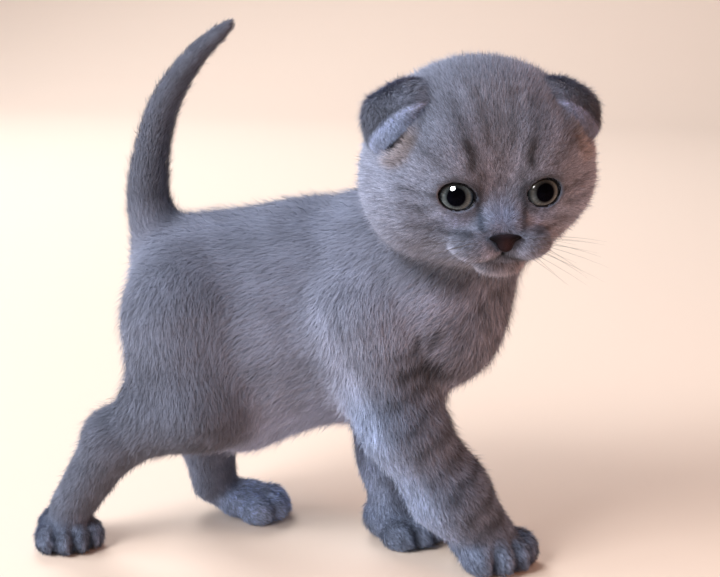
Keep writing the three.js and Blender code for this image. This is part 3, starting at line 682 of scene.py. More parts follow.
# Lines of the face, on its left half, as (y, z) points, a width and how much darker (below 0) or paler.
FACE_LINES = [
    ([(8.0, 4.6), (7.7, 7.5), (8.6, 10.5)], 1.3, -0.72),  # wedge over the eye's inner corner
    ([(9.2, 11), (10, 15), (10.4, 19)], 1.4, -0.30),
    ([(3.4, 11), (3.8, 16), (4.6, 22)], 1.2, -0.28),
    ([(0, 12), (0, 18), (0, 24)], 1.0, -0.18),
    ([(2.6, 2), (3.6, 6), (4.6, 10)], 1.5, 0.38),  # pale stripes between the wedges
    ([(6.6, 12), (7.0, 17), (7.6, 22)], 1.1, 0.22),
    ([(10.8, 6.6), (13.5, 10), (15.5, 14)], 1.7, 0.42),  # pale fan over the eye
    ([(14.5, 4.5), (18, 8), (21, 11)], 1.2, -0.26),
    ([(6.4, -5.0), (5.6, -8.5), (5.4, -11.8)], 1.0, -0.72),  # beside the nose, from the eye's corner
    ([(5.2, 3.0), (5.8, 0.0), (6.2, -3.0)], 1.1, -0.40),  # inner side of the brow
    ([(17.2, -2.6), (21, -1.8), (25, -1.2)], 0.9, -0.42),  # back from the eye's outer corner
    ([(18, -6.2), (22, -6.4), (26, -5.2)], 1.0, -0.32),
    ([(15, -9.8), (19, -11.2), (23, -11.4)], 1.1, -0.30),
    ([(8.6, -12.9), (10.8, -13.4), (13, -13.2)], 0.75, -0.62),  # short streak on the lip pad
    ([(9.5, -10.0), (13, -9.4), (16.2, -7.6)], 1.8, 0.62),  # pale patch under the eye
    ([(9.6, -12.4), (13.5, -12.6), (17.5, -12.0)], 0.9, -0.35),
    ([(11, -15.0), (15, -15.6), (19, -15.2)], 0.9, -0.30),
    ([(4.2, -17.4), (7.5, -18.6), (10.5, -18.8)], 1.2, 0.40),  # edge of the upper lip
    ([(0, -14.9), (0, -18.2)], 0.7, -0.85),
    (LIP_LINE, 0.75, -0.8),
]

# Painted shade in the folds and short dark streaks of the right elbow and shoulder, painted shadow of
# the throat and a pale ruff below it, as points in space, a width and how much darker (below 0) or paler.
FOLD_SHADE_AND_RUFF = [
    ([(19.5, -29.4, 63.2), (22.1, -28.4, 65.1), (25.1, -27.2, 66.3), (28.5, -25.4, 65.9)], 2.3, -0.88),
    ([(25.9, -26.1, 62.8), (28.3, -24.6, 62.7), (30.9, -22.8, 62.5)], 1.9, -0.85),
    ([(23.5, -27.6, 59.6), (25.9, -26.0, 59.8), (28.7, -23.4, 58.5)], 1.6, -0.7),
    ([(17.8, -30.4, 69.5), (22.1, -29.0, 70.2), (25.4, -27.6, 69.0)], 1.6, -0.6),
    ([(23.3, -28.8, 72.2), (23.9, -29.1, 75.2)], 1.4, -0.7),
    ([(27.1, -27.9, 72.6), (28.5, -28.1, 75.1), (29.3, -28.7, 77.9)], 1.4, -0.7),
    ([(20.5, -31.6, 98.3), (24.9, -31.6, 95.7), (30.2, -31.3, 93.3), (35.9, -30.0, 91.3)], 3.2, -0.45),
    ([(27.5, -30.5, 87.7), (32.7, -29.6, 86.3), (37.8, -28.4, 87.6)], 2.6, 0.2),
]


def whisker_rows(y, z):
    """1 on the small dark spots that stand in rows on the lip pads."""
    rows = sum(bump_at(z, level, 0.34) for level in (-14.7, -16.1, -17.4))
    return rows * smooth_step(np.sin((y + 0.4 * z) * 2 * math.pi / 1.5), 0.1, 0.9) * bump_at(y, 7.5, 3.2)


def marked(tone, q, lines, share=1.0):
    """The tone with lines drawn on it, each darker or paler by its own amount."""
    for points, width, amount in lines:
        tone = tone * (1 + amount * share * np.exp(-(line_distance(q, points) / width) ** 2))
    return tone


def face_tone(q, on_head):
    y, z = np.abs(q[:, 1]), q[:, 2]
    front = on_head * smooth_step(q[:, 0], 6, 18)
    tone = 1 + TONE["brow"] * front * smooth_step(z, 2, 12) * (1 - 0.7 * smooth_step(z, 14, 26))
    tone *= 1 + TONE["temple"] * on_head * smooth_step(y, 15, 24) * (1 - smooth_step(z, 2, 14))
    tone = marked(tone, np.stack([y, z], 1), FACE_LINES, front)
    tone *= 1 + TONE["whisker_row"] * front * whisker_rows(y, z)
    above = smooth_step(z + 0.5 * (14 - y), -3, 2)
    tone *= 1 - (0.3 + 0.35 * above) * on_head * bump_at(openings(from_head(q)), 0.3, 1.3)
    return tone, front


def trunk_tone(tone, p, share):
    """Painted light on belly, shoulder and back, darker hind legs, painted shade on a mottled chest and in
    creases.
    """
    x, z = p[:, 0], p[:, 2]
    trunk, off_head = share("torso"), 1 - share("head")
    hind = share("hind_right_leg") + share("hind_left_leg")
    # where the painted light on the shoulder falls
    shoulder = smooth_step(x, -4, 10) * (1 - smooth_step(x, 24, 36)) * smooth_step(z, 62, 74)
    chest = smooth_step(x, 30, 42) * (trunk + share("neck"))
    tone *= 1 + TONE["tail"] * share("tail") * smooth_step(z, 98, 112)
    tone *= 1 + TONE["trunk"] * trunk * (1 - smooth_step(x, 24, 36))
    # painted bounce light: the belly is made paler
    tone *= 1 + TONE["belly"] * trunk * (1 - smooth_step(z, 42, 66))
    # painted light from above: the top of the back is made paler
    tone *= 1 + TONE["back"] * trunk * smooth_step(z, 92, 106)
    tone *= 1 + TONE["thigh"] * hind + TONE["hock"] * hind * (1 - smooth_step(z, 48, 72))
    tone *= 1 + MOTTLING["body"] * off_head * waves(p, 13, 6)
    # painted light from the upper left: the shoulder is made paler
    tone *= 1 + TONE["shoulder"] * off_head * shoulder * (1 - smooth_step(z, 88, 98))
    # painted shade on the chest, with its own mottling
    tone *= 1 + chest * (MOTTLING["chest"] * waves(p, 5, 12) + TONE["chest"])
    # painted shade in the folds, and the pale ruff
    return marked(tone, p, FOLD_SHADE_AND_RUFF)


def leg_tone(tone, p, share, name, leg):
    """Bands across a leg's front, painted light on the forelegs' rear edge and far hind leg, painted shade
    between toes.
    """
    elbow, ankle = np.array(leg["joints"][1], float), np.array(leg["joints"][3], float)
    fore = name.startswith("front")
    on_leg, on_paw = share(f"{name}_leg"), share(f"{name}_paw")
    low = on_leg * (1 - smooth_step(p[:, 2], 54, 66))
    axis = unit(ankle - elbow)
    along = (p - elbow) @ axis
    behind = (p - elbow) @ unit(np.array([-1.0, 0, 0]) + axis[0] * axis)
    phase = (along + 1 + 1.1 * waves(p, 12, 8)) * 2 * math.pi / PALE_BAND_SPACING
    bands = smooth_step(np.cos(phase) + 0.3 * waves(p, 4, 9), -0.2, 1.1)
    tone *= 1 + (FORE_BANDS if fore else HIND_BANDS) * low * bands * (1 - smooth_step(behind, -5, 2))
    if fore:
        tone *= 1 + TONE["foreleg"] * low
        # painted highlight along the forelegs' rear edge
        tone *= 1 + TONE["rear_edge_light"] * on_leg * smooth_step(behind, -2, 3.5)
        tone *= 1 + TONE["front_edge"] * low * (1 - smooth_step(behind, -9, -3))
    q = (p - np.array(leg["paw"], float)) @ turned(leg["turn"]) / leg["width"]
    # painted shade in the gaps between the toes
    gaps = sum(bump_at(q[:, 1], across, 0.034) for across in TOE_GAPS)
    gap_shade = 1 + TONE["toe_gap_shade"] * on_paw * gaps * smooth_step(q[:, 0], 0.1, 0.32)
    tone *= (1 + TONE["paw"] * on_paw) * gap_shade
    tone *= 1 + MOTTLING["feet"] * (on_paw + low) * waves(p, 6, 14)
    # painted light: the far hind paw and lower leg are made paler
    if name == "hind_left":
        tone *= 1 + TONE["far_hind_paw"] * on_paw + TONE["far_hind_leg"] * low
    return tone


def coat_colour(p, shares):
    """The colour of skin and fur at points of the working frame."""
    share = lambda name: shares[:, PARTS.index(name)]
    on_head = share("head")
    tone = 1 + MOTTLING["coat"] * waves(p, 24, 3) + MOTTLING["fine"] * waves(p, 8, 4)
    tone = trunk_tone(tone, p, share)
    for name, leg in LEGS.items():
        tone = leg_tone(tone, p, share, name, leg)
    beside = share("neck") + share("torso") + share("front_right_leg") + share("front_left_leg")
    # painted shade under the jaw, where the head meets neck, chest and forelegs
    tone *= 1 + TONE["under_jaw_shade"] * on_head * beside * (1 - smooth_step(p[:, 2], 110, 122))
    q = to_head(p)
    on_face, front = face_tone(q, on_head)
    colour = BASE * (tone * on_face)[:, None]
    feet = shares[:, FORE_LEGS].sum(1) * (1 - smooth_step(p[:, 2], 50, 66)) + shares[:, ALL_PAWS].sum(1)
    colour *= 1 + feet[:, None] * COLD
    bridge = front * bump_at(q[:, 1], 0, 4.4) * bump_at(q[:, 2], -8.6, 4.0)
    under_eye = front * bump_at(np.abs(q[:, 1]), 12.5, 4) * bump_at(q[:, 2], -9, 2.6)
    colour += (bridge + 0.5 * under_eye)[:, None] * LILAC
    cup = on_head * near_ear(p, [8.2, 1.5, -1.5], [4.4, 7, 5], 0.5, 1.25)
    warm = 0.6 * front * smooth_step(-q[:, 2], 19.5, 23)  # chin
    warm += 0.28 * front * bump_at(q[:, 1], 0, 9) * smooth_step(q[:, 2], -3, 4)  # brow
    warm += 0.35 * on_head * bump_at(np.abs(q[:, 1]), 18, 7) * bump_at(q[:, 2], -17, 4)  # cheeks
    mottled = 1 + MOTTLING["head"] * on_head * waves(p, 4, 15)
    return np.clip(colour * mottled[:, None] + (cup + warm)[:, None] * WARM, 0.005, 1)


EAR_CREST = 0.765


def ear_colour(u, v):
    """A dark back, darkest towards the cheek, a painted highlight on the crest and a lilac flap."""
    tone = 0.96 - 0.46 * smooth_step(v, 0.26, 0.56) * smooth_step(u, -0.6, 0.15)
    # painted highlight along the crest of the fold
    crest_highlight = bump_at(v, EAR_CREST, 0.05)
    # a painted shadow in a thin line just above the crest, and the crest's painted highlight
    tone = tone * (1 - 0.3 * bump_at(v, 0.68, 0.04)) + 1.05 * crest_highlight
    flap = smooth_step(v, EAR_CREST - 0.005, 0.84)
    tone = tone * (1 - flap) + (1.0 + 1.05 * crest_highlight) * flap
    # painted shade along the flap's free margin
    tone = tone * (1 - 0.35 * smooth_step(v, 0.91, 0.96))
    pale = smooth_step(v, 0.68, 0.78)
    return BASE * tone[:, None] + pale[:, None] * LILAC * 0.6


skin_shares = part_shares(skin_points)
skin_colour = coat_colour(skin_points, skin_shares)
print("skin colour from", skin_colour.min(0).round(3), "to", skin_colour.max(0).round(3))

# %% [markdown]
# ## Materials
# Fur and skin take their colour from the attribute that the colour function fills, with a fine
# noise on top. The eye is painted from its own polar coordinates: pupil, iris with streaks, dark
# limbal ring, and a painted shadow of the upper lid that darkens the top of the iris.

# %% Material helpers


def new_material(name, **inputs):
    mat = bpy.data.materials.new(name)
    mat.use_nodes = True
    shader = mat.node_tree.nodes["Principled BSDF"]
    for key, value in inputs.items():
        shader.inputs[key.replace("_", " ")].default_value = value
    return mat, mat.node_tree, shader


def add(tree, kind, **settings):
    node = tree.nodes.new(kind)
    for key, value in settings.items():
        setattr(node, key, value)
    return node


def map_range(tree, value, from_low, from_high, to_low, to_high):
    node = add(tree, "ShaderNodeMapRange")
    limits = {"From Min": from_low, "From Max": from_high, "To Min": to_low, "To Max": to_high}
    for key, limit in limits.items():
        node.inputs[key].default_value = limit
    tree.links.new(value, node.inputs["Value"])
    return node.outputs["Result"]


def scaled(tree, colour, factor, shader):
    """Base colour: a colour times a factor."""
    node = add(tree, "ShaderNodeVectorMath", operation="SCALE")
    tree.links.new(colour, node.inputs[0])
    tree.links.new(factor, node.inputs["Scale"])
    tree.links.new(node.outputs["Vector"], shader.inputs["Base Color"])


def attribute_colour(tree, shader, scale, amount):
    """Base colour: the attribute, made lighter and darker by a noise in object coordinates."""
    colour = add(tree, "ShaderNodeAttribute", attribute_name="coat_colour")
    place = add(tree, "ShaderNodeTexCoord")
    noise = add(tree, "ShaderNodeTexNoise")
    noise.inputs["Scale"].default_value = scale
    noise.inputs["Detail"].default_value = 3
    tree.links.new(place.outputs["Object"], noise.inputs["Vector"])
    factor = map_range(tree, noise.outputs["Fac"], 0.25, 0.75, 1 - amount, 1 + amount)
    scaled(tree, colour.outputs["Color"], factor, shader)
    return place, noise


def bumped(tree, shader, height, strength, distance):
    node = add(tree, "ShaderNodeBump")
    node.inputs["Strength"].default_value = strength
    node.inputs["Distance"].default_value = distance
    tree.links.new(height, node.inputs["Height"])
    tree.links.new(node.outputs["Normal"], shader.inputs["Normal"])


fur_material, tree, shader = new_material("fur", Roughness=0.7, Sheen_Weight=0.18, Sheen_Roughness=0.5,
                                          Sheen_Tint=(0.75, 0.82, 1, 1))
attribute_colour(tree, shader, 900, 0.12)

skin_material, tree, shader = new_material("skin", Roughness=0.75)
_, noise = attribute_colour(tree, shader, 1400, 0.2)
bumped(tree, shader, noise.outputs["Fac"], 0.35, 0.0004)

nose_material, tree, shader = new_material("nose_leather", Roughness=0.5, Specular_IOR_Level=0.3)
place, _ = attribute_colour(tree, shader, 1400, 0.15)
cells = add(tree, "ShaderNodeTexVoronoi")
cells.inputs["Scale"].default_value = 2600
tree.links.new(place.outputs["Object"], cells.inputs["Vector"])
bumped(tree, shader, cells.outputs["Distance"], 0.5, 0.0002)

lid_material, _, _ = new_material("lid_rim", Base_Color=(0.006, 0.006, 0.008, 1), Roughness=0.5)
whisker_material, _, _ = new_material("whisker", Base_Color=(0.11, 0.10, 0.10, 1), Roughness=0.4)
print(len(bpy.data.materials), "materials")

# %% [markdown]
# ## Skin
# The net and both ear leaves become one mesh, so that no seam shows. It replaces every node of flesh
# of the CAD part.

# %% Skin object


def add_colour(obj, colour):
    data = np.ones((len(colour), 4), np.float32)
    data[:, :3] = colour
    layer = obj.data.color_attributes.new("coat_colour", "FLOAT_COLOR", "POINT")
    layer.data.foreach_set("color", data.ravel())


EAR_SKIN = np.array([0.20, 0.15, 0.14])
SKIN_DARKER, EAR_BACK_DARKER = 0.82, 0.8  # the skin shows dark between the hairs
parts_points, parts_faces, parts_colour = [skin_points], [skin_quads], [skin_colour * SKIN_DARKER]
start = len(skin_points)
for points, quads, u, v in ear_meshes:
    parts_points.append(points)
    parts_faces.append(quads + start)
    inside_ear = np.tile(EAR_SKIN, (len(points) // 2, 1))
    parts_colour.append(np.concatenate([inside_ear, ear_colour(u.ravel(), v.ravel()) * EAR_BACK_DARKER]))
    start += len(points)
skin = make_mesh("skin", np.concatenate(parts_points), np.concatenate(parts_faces))
add_colour(skin, np.concatenate(parts_colour))
skin.data.materials.append(skin_material)
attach(skin, "root")
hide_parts(*[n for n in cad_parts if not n.startswith(("eye", "nose"))])
print("skin:", len(skin.data.vertices), "vertices")

# %% [markdown]
# ## Eyeballs
# Each eye is a ball with a slight bulge where the cornea is. Its polar coordinates are stored on its
# vertices for the material.

# %% Eyeballs
eye_material, tree, shader = new_material("eye", Roughness=0.35, Coat_Weight=0.3, Coat_Roughness=0.03,
                                          Coat_IOR=1.38, Specular_IOR_Level=0.0)
polar_place = add(tree, "ShaderNodeAttribute", attribute_name="eye_polar")
split = add(tree, "ShaderNodeSeparateXYZ")
streak_place = add(tree, "ShaderNodeVectorMath", operation="MULTIPLY")
streak_place.inputs[1].default_value = (1.2, 9, 9)
streaks = add(tree, "ShaderNodeTexNoise")
streaks.inputs["Scale"].default_value = 2.6
streaks.inputs["Detail"].default_value = 4
iris_ramp = add(tree, "ShaderNodeValToRGB")
# From the pupil over the iris to the dark ring round it and the rest of the ball.
stops = [(0.0, (0.002, 0.002, 0.003)), (0.32, (0.002, 0.002, 0.004)), (0.35, (0.030, 0.036, 0.040)),
         (0.40, (0.074, 0.090, 0.100)), (0.49, (0.148, 0.172, 0.180)), (0.55, (0.100, 0.126, 0.148)),
         (0.59, (0.042, 0.058, 0.074)), (0.63, (0.008, 0.010, 0.016)), (0.80, (0.004, 0.004, 0.006))]
for at, colour in stops[1:-1]:
    iris_ramp.color_ramp.elements.new(at)
for element, (at, colour) in zip(iris_ramp.color_ramp.elements, stops):
    element.position, element.color = at, (*colour, 1)
tree.links.new(polar_place.outputs["Vector"], split.inputs[0])
tree.links.new(polar_place.outputs["Vector"], streak_place.inputs[0])
tree.links.new(streak_place.outputs["Vector"], streaks.inputs["Vector"])
tree.links.new(split.outputs["X"], iris_ramp.inputs["Fac"])
both_shades = add(tree, "ShaderNodeMath", operation="MULTIPLY")
streaked = map_range(tree, streaks.outputs["Fac"], 0.3, 0.7, 0.6, 1.45)
# painted shadow of the upper lid: the iris darkens towards its top
lid_shadow = map_range(tree, split.outputs["Z"], -0.4, 1.0, 1.1, 0.5)
tree.links.new(streaked, both_shades.inputs[0])
tree.links.new(lid_shadow, both_shades.inputs[1])
scaled(tree, iris_ramp.outputs["Color"], both_shades.outputs[0], shader)

EYE_RINGS, EYE_SPOKES = 44, 72
CORNEA_RISE, CORNEA_EDGE = 0.35, 0.62  # millimetres, radians
EYES = {"right": RIGHT, "left": LEFT}
for name, side in EYES.items():
    axes, centre = eye_frame(side)
    polar = np.linspace(0, math.pi, EYE_RINGS + 1)[:, None]
    turn = np.linspace(0, 2 * math.pi, EYE_SPOKES, endpoint=False)[None, :]
    bulge = EYE_RADIUS + CORNEA_RISE * np.exp(-((polar / CORNEA_EDGE) ** 4))
    local = np.stack([np.cos(polar) * bulge + 0 * turn, np.sin(polar) * np.cos(turn) * bulge,
                      np.sin(polar) * np.sin(turn) * bulge], -1).reshape(-1, 3)
    i, j = np.meshgrid(np.arange(EYE_RINGS), np.arange(EYE_SPOKES), indexing="ij")
    a, b = (i * EYE_SPOKES + j).ravel(), (i * EYE_SPOKES + (j + 1) % EYE_SPOKES).ravel()
    quads = np.stack([a, a + EYE_SPOKES, b + EYE_SPOKES, b], 1)
    eye = make_mesh(f"eyeball_{name}", local @ axes.T + centre, quads)
    data = np.stack([np.sin(np.minimum(polar, math.pi / 2)) + 0 * turn, np.cos(turn) + 0 * polar,
                     np.sin(turn) + 0 * polar], -1).reshape(-1, 3)
    layer = eye.data.attributes.new("eye_polar", "FLOAT_VECTOR", "POINT")
    layer.data.foreach_set("vector", data.astype(np.float32).ravel())
    eye.data.materials.append(eye_material)
    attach(eye, "root")
    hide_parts(f"eye_{name}")
print(len(EYES), "eyeballs of radius", EYE_RADIUS, "mm")

# %% [markdown]
# ## Lid rims
# The line of the almond is found on the ball by a short search along each direction, and a thin tube
# follows it. The rim is thicker in the inner corner and under the upper lid.

# %% Lid rims


def ring_tube(line, radii, sides):
    """A tube along a closed line of points."""
    tangent = unit(np.roll(line, -1, 0) - np.roll(line, 1, 0))
    side_way = np.cross(tangent, [0.0, 0.0, 1.0])
    flat = np.linalg.norm(side_way, axis=1) < 0.2
    side_way[flat] = np.cross(tangent[flat], [1.0, 0, 0])
    side_way = unit(side_way)
    up = np.cross(side_way, tangent)
    turn = np.linspace(0, 2 * math.pi, sides, endpoint=False)[None, :, None]
    around = np.cos(turn) * side_way[:, None] + np.sin(turn) * up[:, None]
    points = line[:, None] + radii[:, None, None] * around
    i, j = np.meshgrid(np.arange(len(line)), np.arange(sides), indexing="ij")
    following = (i + 1) % len(line)
    a, b = (i * sides + j).ravel(), (i * sides + (j + 1) % sides).ravel()
    c, d = (following * sides + (j + 1) % sides).ravel(), (following * sides + j).ravel()
    return points.reshape(-1, 3), np.stack([a, b, c, d], 1)


RIM_POINTS, RIM_SIDES = 72, 8
for name, side in EYES.items():
    axes, centre = eye_frame(side)
    turn = np.linspace(0, 2 * math.pi, RIM_POINTS, endpoint=False)
    y, z = np.cos(turn), np.sin(turn)
    size = np.ones(RIM_POINTS)
    for _ in range(30):
        size -= opening_value(y * size, z * size) * 2.5
    y, z = y * size * 0.985, z * size * 0.985
    x = np.sqrt(np.maximum((EYE_RADIUS + 0.28) ** 2 - y * y - z * z, 0))
    line = np.stack([x, y * side, z], 1) @ axes.T + centre
    corner = bump_at(turn, math.pi + 0.15, 0.3)
    thick = 0.52 + 0.45 * corner + 0.42 * smooth_step(np.sin(turn), -0.3, 0.7)
    points, quads = ring_tube(line, thick, RIM_SIDES)
    rim = make_mesh(f"lid_rim_{name}", points, quads if side == LEFT else quads[:, ::-1])
    rim.data.materials.append(lid_material)
    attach(rim, "root")
print("lid rims of", len(points), "vertices")

# %% [markdown]
# ## Nose
# The nose leather is a small shield, wider above than below, with a groove down its middle and two
# comma-shaped nostrils. It's drawn as a field of its own at a finer grid.

# %% Nose leather
groove = limb(NOSE_CENTRE + [2.4, 0, 0.3], NOSE_CENTRE + [1.9, 0, -3.4], 0.18, 0.26)
nostrils = both(lambda s: limb(NOSE_CENTRE + [2.1, 1.9 * s, 0.0],
                               NOSE_CENTRE + [1.3, 3.5 * s, 0.5], 0.6, 0.5))
slits = both(lambda s: limb(NOSE_CENTRE + [1.5, 3.3 * s, 0.2],
                            NOSE_CENTRE + [0.3, 4.4 * s, -0.8], 0.45, 0.25))


def nose_field(q):
    above = smooth_step(q[:, 2], NOSE_CENTRE[2] + 0.4, NOSE_CENTRE[2] + 2.0)
    value = nose_shape(q) + 0.25 + 0.9 * above
    value = -flow(-value, groove(q), 0.5)
    for cut in (*nostrils, *slits):
        value = -flow(-value, cut(q), 0.35)
    return value


NOSE_CELL, NOSE_ROOM, NOSE_BAND = 0.3, 6, 3
NOSE_WINGS, NOSE_RED = np.array([0.007, 0.006, 0.008]), np.array([0.024, 0.009, 0.010])
nose_lines = [np.arange(middle - NOSE_ROOM, middle + NOSE_ROOM, NOSE_CELL) for middle in NOSE_CENTRE]
nose_points, nose_quads = surface_net(sampled(nose_field, nose_lines, NOSE_BAND), nose_lines)
nose_points, _ = pulled(nose_field, nose_points)
nose = make_mesh("nose_leather", from_head(nose_points), nose_quads)
nose_height = nose_points[:, 2] - NOSE_CENTRE[2]
red = bump_at(nose_points[:, 1], 0, 1.9) * (1 - 0.5 * smooth_step(nose_height, -0.5, 1))
add_colour(nose, NOSE_WINGS + red[:, None] * NOSE_RED)
nose.data.materials.append(nose_material)
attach(nose, "root")
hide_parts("nose")
print("nose:", len(nose_points), "vertices")

# %% [markdown]
# ## The lie of the coat
# On the head fur runs away from the nose; on the body it runs back and down; on legs and tail it runs
# along them. Each part gives its own direction, and the parts' shares mix them. Length, lift, width
# and density are mixed the same way.

# %% Lie, length and lift of the fur


def lie_of_coat(p, n, shares):
    """The direction of the fur at points with normals n, along the skin."""
    ways = np.zeros((len(p), len(PARTS), 3))
    flank = np.abs(n[:, 1]) + 0.3 * np.maximum(n[:, 0], 0)
    chest = smooth_step(n[:, 0], 0.2, 0.8)
    ways[:, TORSO] = np.stack([-0.9 + 0.8 * chest, 0 * flank, -0.12 - 0.42 * flank - 0.6 * chest], 1)
    ways[:, NECK] = [-0.55, 0.1, -0.8]
    from_nose = unit(to_head(p) - [33, 0, -10])
    from_nose[:, 2] -= 0.25 * (1 - face_share(p))
    ways[:, HEAD] = from_nose @ HEAD_AXES.T
    for i, leg in enumerate(LEGS.values()):
        j = np.array(leg["joints"], float)
        down = unit(j[1:] - j[:-1])
        below_elbow = smooth_step(-p[:, 2], -j[1][2] - 4, -j[1][2] + 12)[:, None]
        below_wrist = smooth_step(-p[:, 2], -j[2][2] - 4, -j[2][2] + 8)[:, None]
        upper = down[0] * (1 - below_elbow) + down[1] * below_elbow * (1 - below_wrist)
        ways[:, FIRST_LEG + i] = upper + down[2] * below_wrist * below_elbow + [0, 0, -0.35]
        ways[:, FIRST_PAW + i] = turned(leg["turn"]) @ np.array([1.0, 0, 0]) + [0, 0, -0.45]
    nearest = np.argmin(((p[:, None] - tail_line[None]) ** 2).sum(2), 1)
    ways[:, TAIL] = unit(np.gradient(tail_line, axis=0))[nearest]
    way = (unit(ways) * shares[:, :, None]).sum(1)
    way -= (way * n).sum(1, keepdims=True) * n
    return unit(way)


# What each region adds to the fur's length, lift in degrees, half width, density and grain.
FUR_LENGTH = dict(paw=0.7, cup=1.7)
FUR_LIFT = dict(head=9, face=-4, paw=13, chest=4, cup=26)
FUR_WIDTH = dict(head=-0.012, face=-0.008, paw=-0.008, muzzle=-0.006)
FUR_DENSITY = dict(head=4.5, face=7, muzzle=7, paw=8)
FUR_GRAIN = dict(uneven=0.13, face=0.08, paw=0.09)


def coat_sizes(p, shares):
    """Length of fur, its lift in degrees, its half width, how many to a square millimetre, and grain."""
    on_head, on_paw = shares[:, HEAD], shares[:, ALL_PAWS].sum(1)
    chest = (1 - on_head) * smooth_step(p[:, 0], 18, 34)
    forelegs = shares[:, FORE_LEGS].sum(1)
    regions = dict(head=on_head, paw=on_paw, face=on_head * face_share(p), muzzle=on_head * muzzle_share(p),
                   chest=chest, cup=on_head * near_ear(p, [7.5, 0.5, -2], [4, 7, 5], 0.7, 1.2),
                   uneven=np.clip(on_head + on_paw + 0.8 * forelegs + chest, 0, 1))

    def with_regions(value, amounts):
        for name, amount in amounts.items():
            value = value + amount * regions[name]
        return value

    return (with_regions(1.35 * coat_depth(p, shares) + 0.5, FUR_LENGTH),
            with_regions(25 + 3 * waves(p, 20, 11), FUR_LIFT), with_regions(0.072, FUR_WIDTH),
            with_regions(8.5, FUR_DENSITY), with_regions(0.035, FUR_GRAIN))


skin_way = lie_of_coat(skin_points, skin_normals, skin_shares)
skin_sizes = np.stack(coat_sizes(skin_points, skin_shares), 1)
print("fur length from", skin_sizes[:, 0].min().round(1), "to", skin_sizes[:, 0].max().round(1), "mm")

# %% [markdown]
# ## Fur
# Particle hair wouldn't survive the export, so that each hair is a thin kite of two triangles, bent
# half way. The hairs grow from random points of the skin, lean along the lie of the coat, draw
# together into small clumps, and are darker at the root. Some stand out more, as the fuzz of a
# kitten's outline. A real hair is round and lets light through, which a flat kite isn't and doesn't,
# so that its normals lean towards the skin's own: this shades the coat softly. The coat is split by
# part, and a big part once more along its axis, so that no piece gets too big. The map OFBake puts
# each hair on a small patch at its root's place on an unwrap of the part's own shape: round the part's
# axis and along it. A hair takes the colour of the place that its middle covers, so that the markings
# stay sharp.

# %% Roots
FUR_BUDGET = 660000
FUR_SHARE = 1.0


def under_ear(p):
    """Whether points lie under the leaf of an ear, where no hair shows."""
    hidden = np.zeros(len(p), bool)
    for side in (LEFT, RIGHT):
        x, y, z = to_ear(p, side).T
        hidden |= (x > -11) & (x < 3.6) & (np.abs(y) < 8.6) & (z > -9) & (z < 4)
    return hidden


def rooted(points, normals, quads, data, density, rng):
    """Random roots on the quads: points, normals and mixed data, spread by density."""
    a, b, c, d = (quads[:, n] for n in range(4))
    tris = np.concatenate([np.stack([a, b, c], 1), np.stack([a, c, d], 1)])
    corners = points[tris]
    area = np.linalg.norm(np.cross(corners[:, 1] - corners[:, 0], corners[:, 2] - corners[:, 0]), axis=1) / 2
    wanted = area * density[tris].mean(1)
    count = np.floor(wanted + rng.random(len(wanted))).astype(int)
    pick = np.repeat(np.arange(len(tris)), count)
    r = rng.random((len(pick), 2))
    r = np.where(r.sum(1, keepdims=True) > 1, 1 - r, r)
    weight = np.stack([1 - r.sum(1), r[:, 0], r[:, 1]], 1)[:, :, None]
    mix = lambda values: (values[tris[pick]] * weight).sum(1)
    return mix(points), unit(mix(normals)), mix(data)


# The columns of the data that the roots carry.
WAY, LENGTH, LIFT, WIDTH, GRAIN = slice(0, 3), 3, 4, 5, 7
COLOUR, SHARES = slice(8, 11), slice(11, None)
MIDDLE_COVERS = 0.55  # of a hair's length, ahead of its root
reach = MIDDLE_COVERS * skin_sizes[:, 0] * np.cos(np.radians(skin_sizes[:, 1]))
covered = skin_points + skin_way * reach[:, None]
fur_colour = coat_colour(covered, part_shares(covered))
data = np.concatenate([skin_way, skin_sizes, fur_colour, skin_shares], 1)
bare = (openings(skin_points) < 0.12) | (nose_shape(to_head(skin_points)) < 0.12)
bare |= (skin_points[:, 2] < 0.9) | under_ear(skin_points)
density = np.where(bare, 0, skin_sizes[:, 3])
quad_corners = skin_points[skin_quads]
diagonals = quad_corners[:, 2:] - quad_corners[:, :2]
quad_area = np.linalg.norm(np.cross(diagonals[:, 0], diagonals[:, 1]), axis=1) / 2
expected = (quad_area * density[skin_quads].mean(1)).sum()
density *= FUR_SHARE * FUR_BUDGET / expected
roots, root_normals, root_data = rooted(skin_points, skin_normals, skin_quads, data, density, RNG)
clear = mouth_field(roots) >= 0.2
roots, root_normals, root_data = roots[clear], root_normals[clear], root_data[clear]
print(len(roots), "roots; densities are", round(FUR_BUDGET / expected, 2), "of those asked")

# %% Hairs
SKIN_NORMAL, OWN_NORMAL = 0.85, 0.4
STRAYS, STRAY_LIFT, STRAY_LENGTH, STRAY_WIDTH = 0.14, 24, 1.15, 0.62
BEND_OUT, BEND_IN = 0.28, 0.36  # radians, of the two halves of a hair
MIDDLE_AT, ROOT_SUNK = 0.45, 0.2
LIFT_SPREAD, TURN_SPREAD, LENGTH_SPREAD, WIDTH_SPREAD = 8, 0.24, (0.62, 1.12), (0.75, 1.25)
CLUMP_PULL, TWIST_SPREAD = 2.4, 0.16
CELL_PRIMES = (73856093, 19349663, 83492791)


def clump_centres(tip, size):
    """For each tip the middle of the tips in its wavy cell, with the cells' numbers and count."""
    key = np.floor(tip / size + 0.35 * np.sin(tip[:, [1, 2, 0]] / size * 1.7)).astype(np.int64)
    key = (key[:, 0] * CELL_PRIMES[0]) ^ (key[:, 1] * CELL_PRIMES[1]) ^ (key[:, 2] * CELL_PRIMES[2])
    _, group = np.unique(key, return_inverse=True)
    members = np.bincount(group)
    centre = np.stack([np.bincount(group, tip[:, k]) / members for k in range(3)], 1)
    return centre[group], group, len(members)


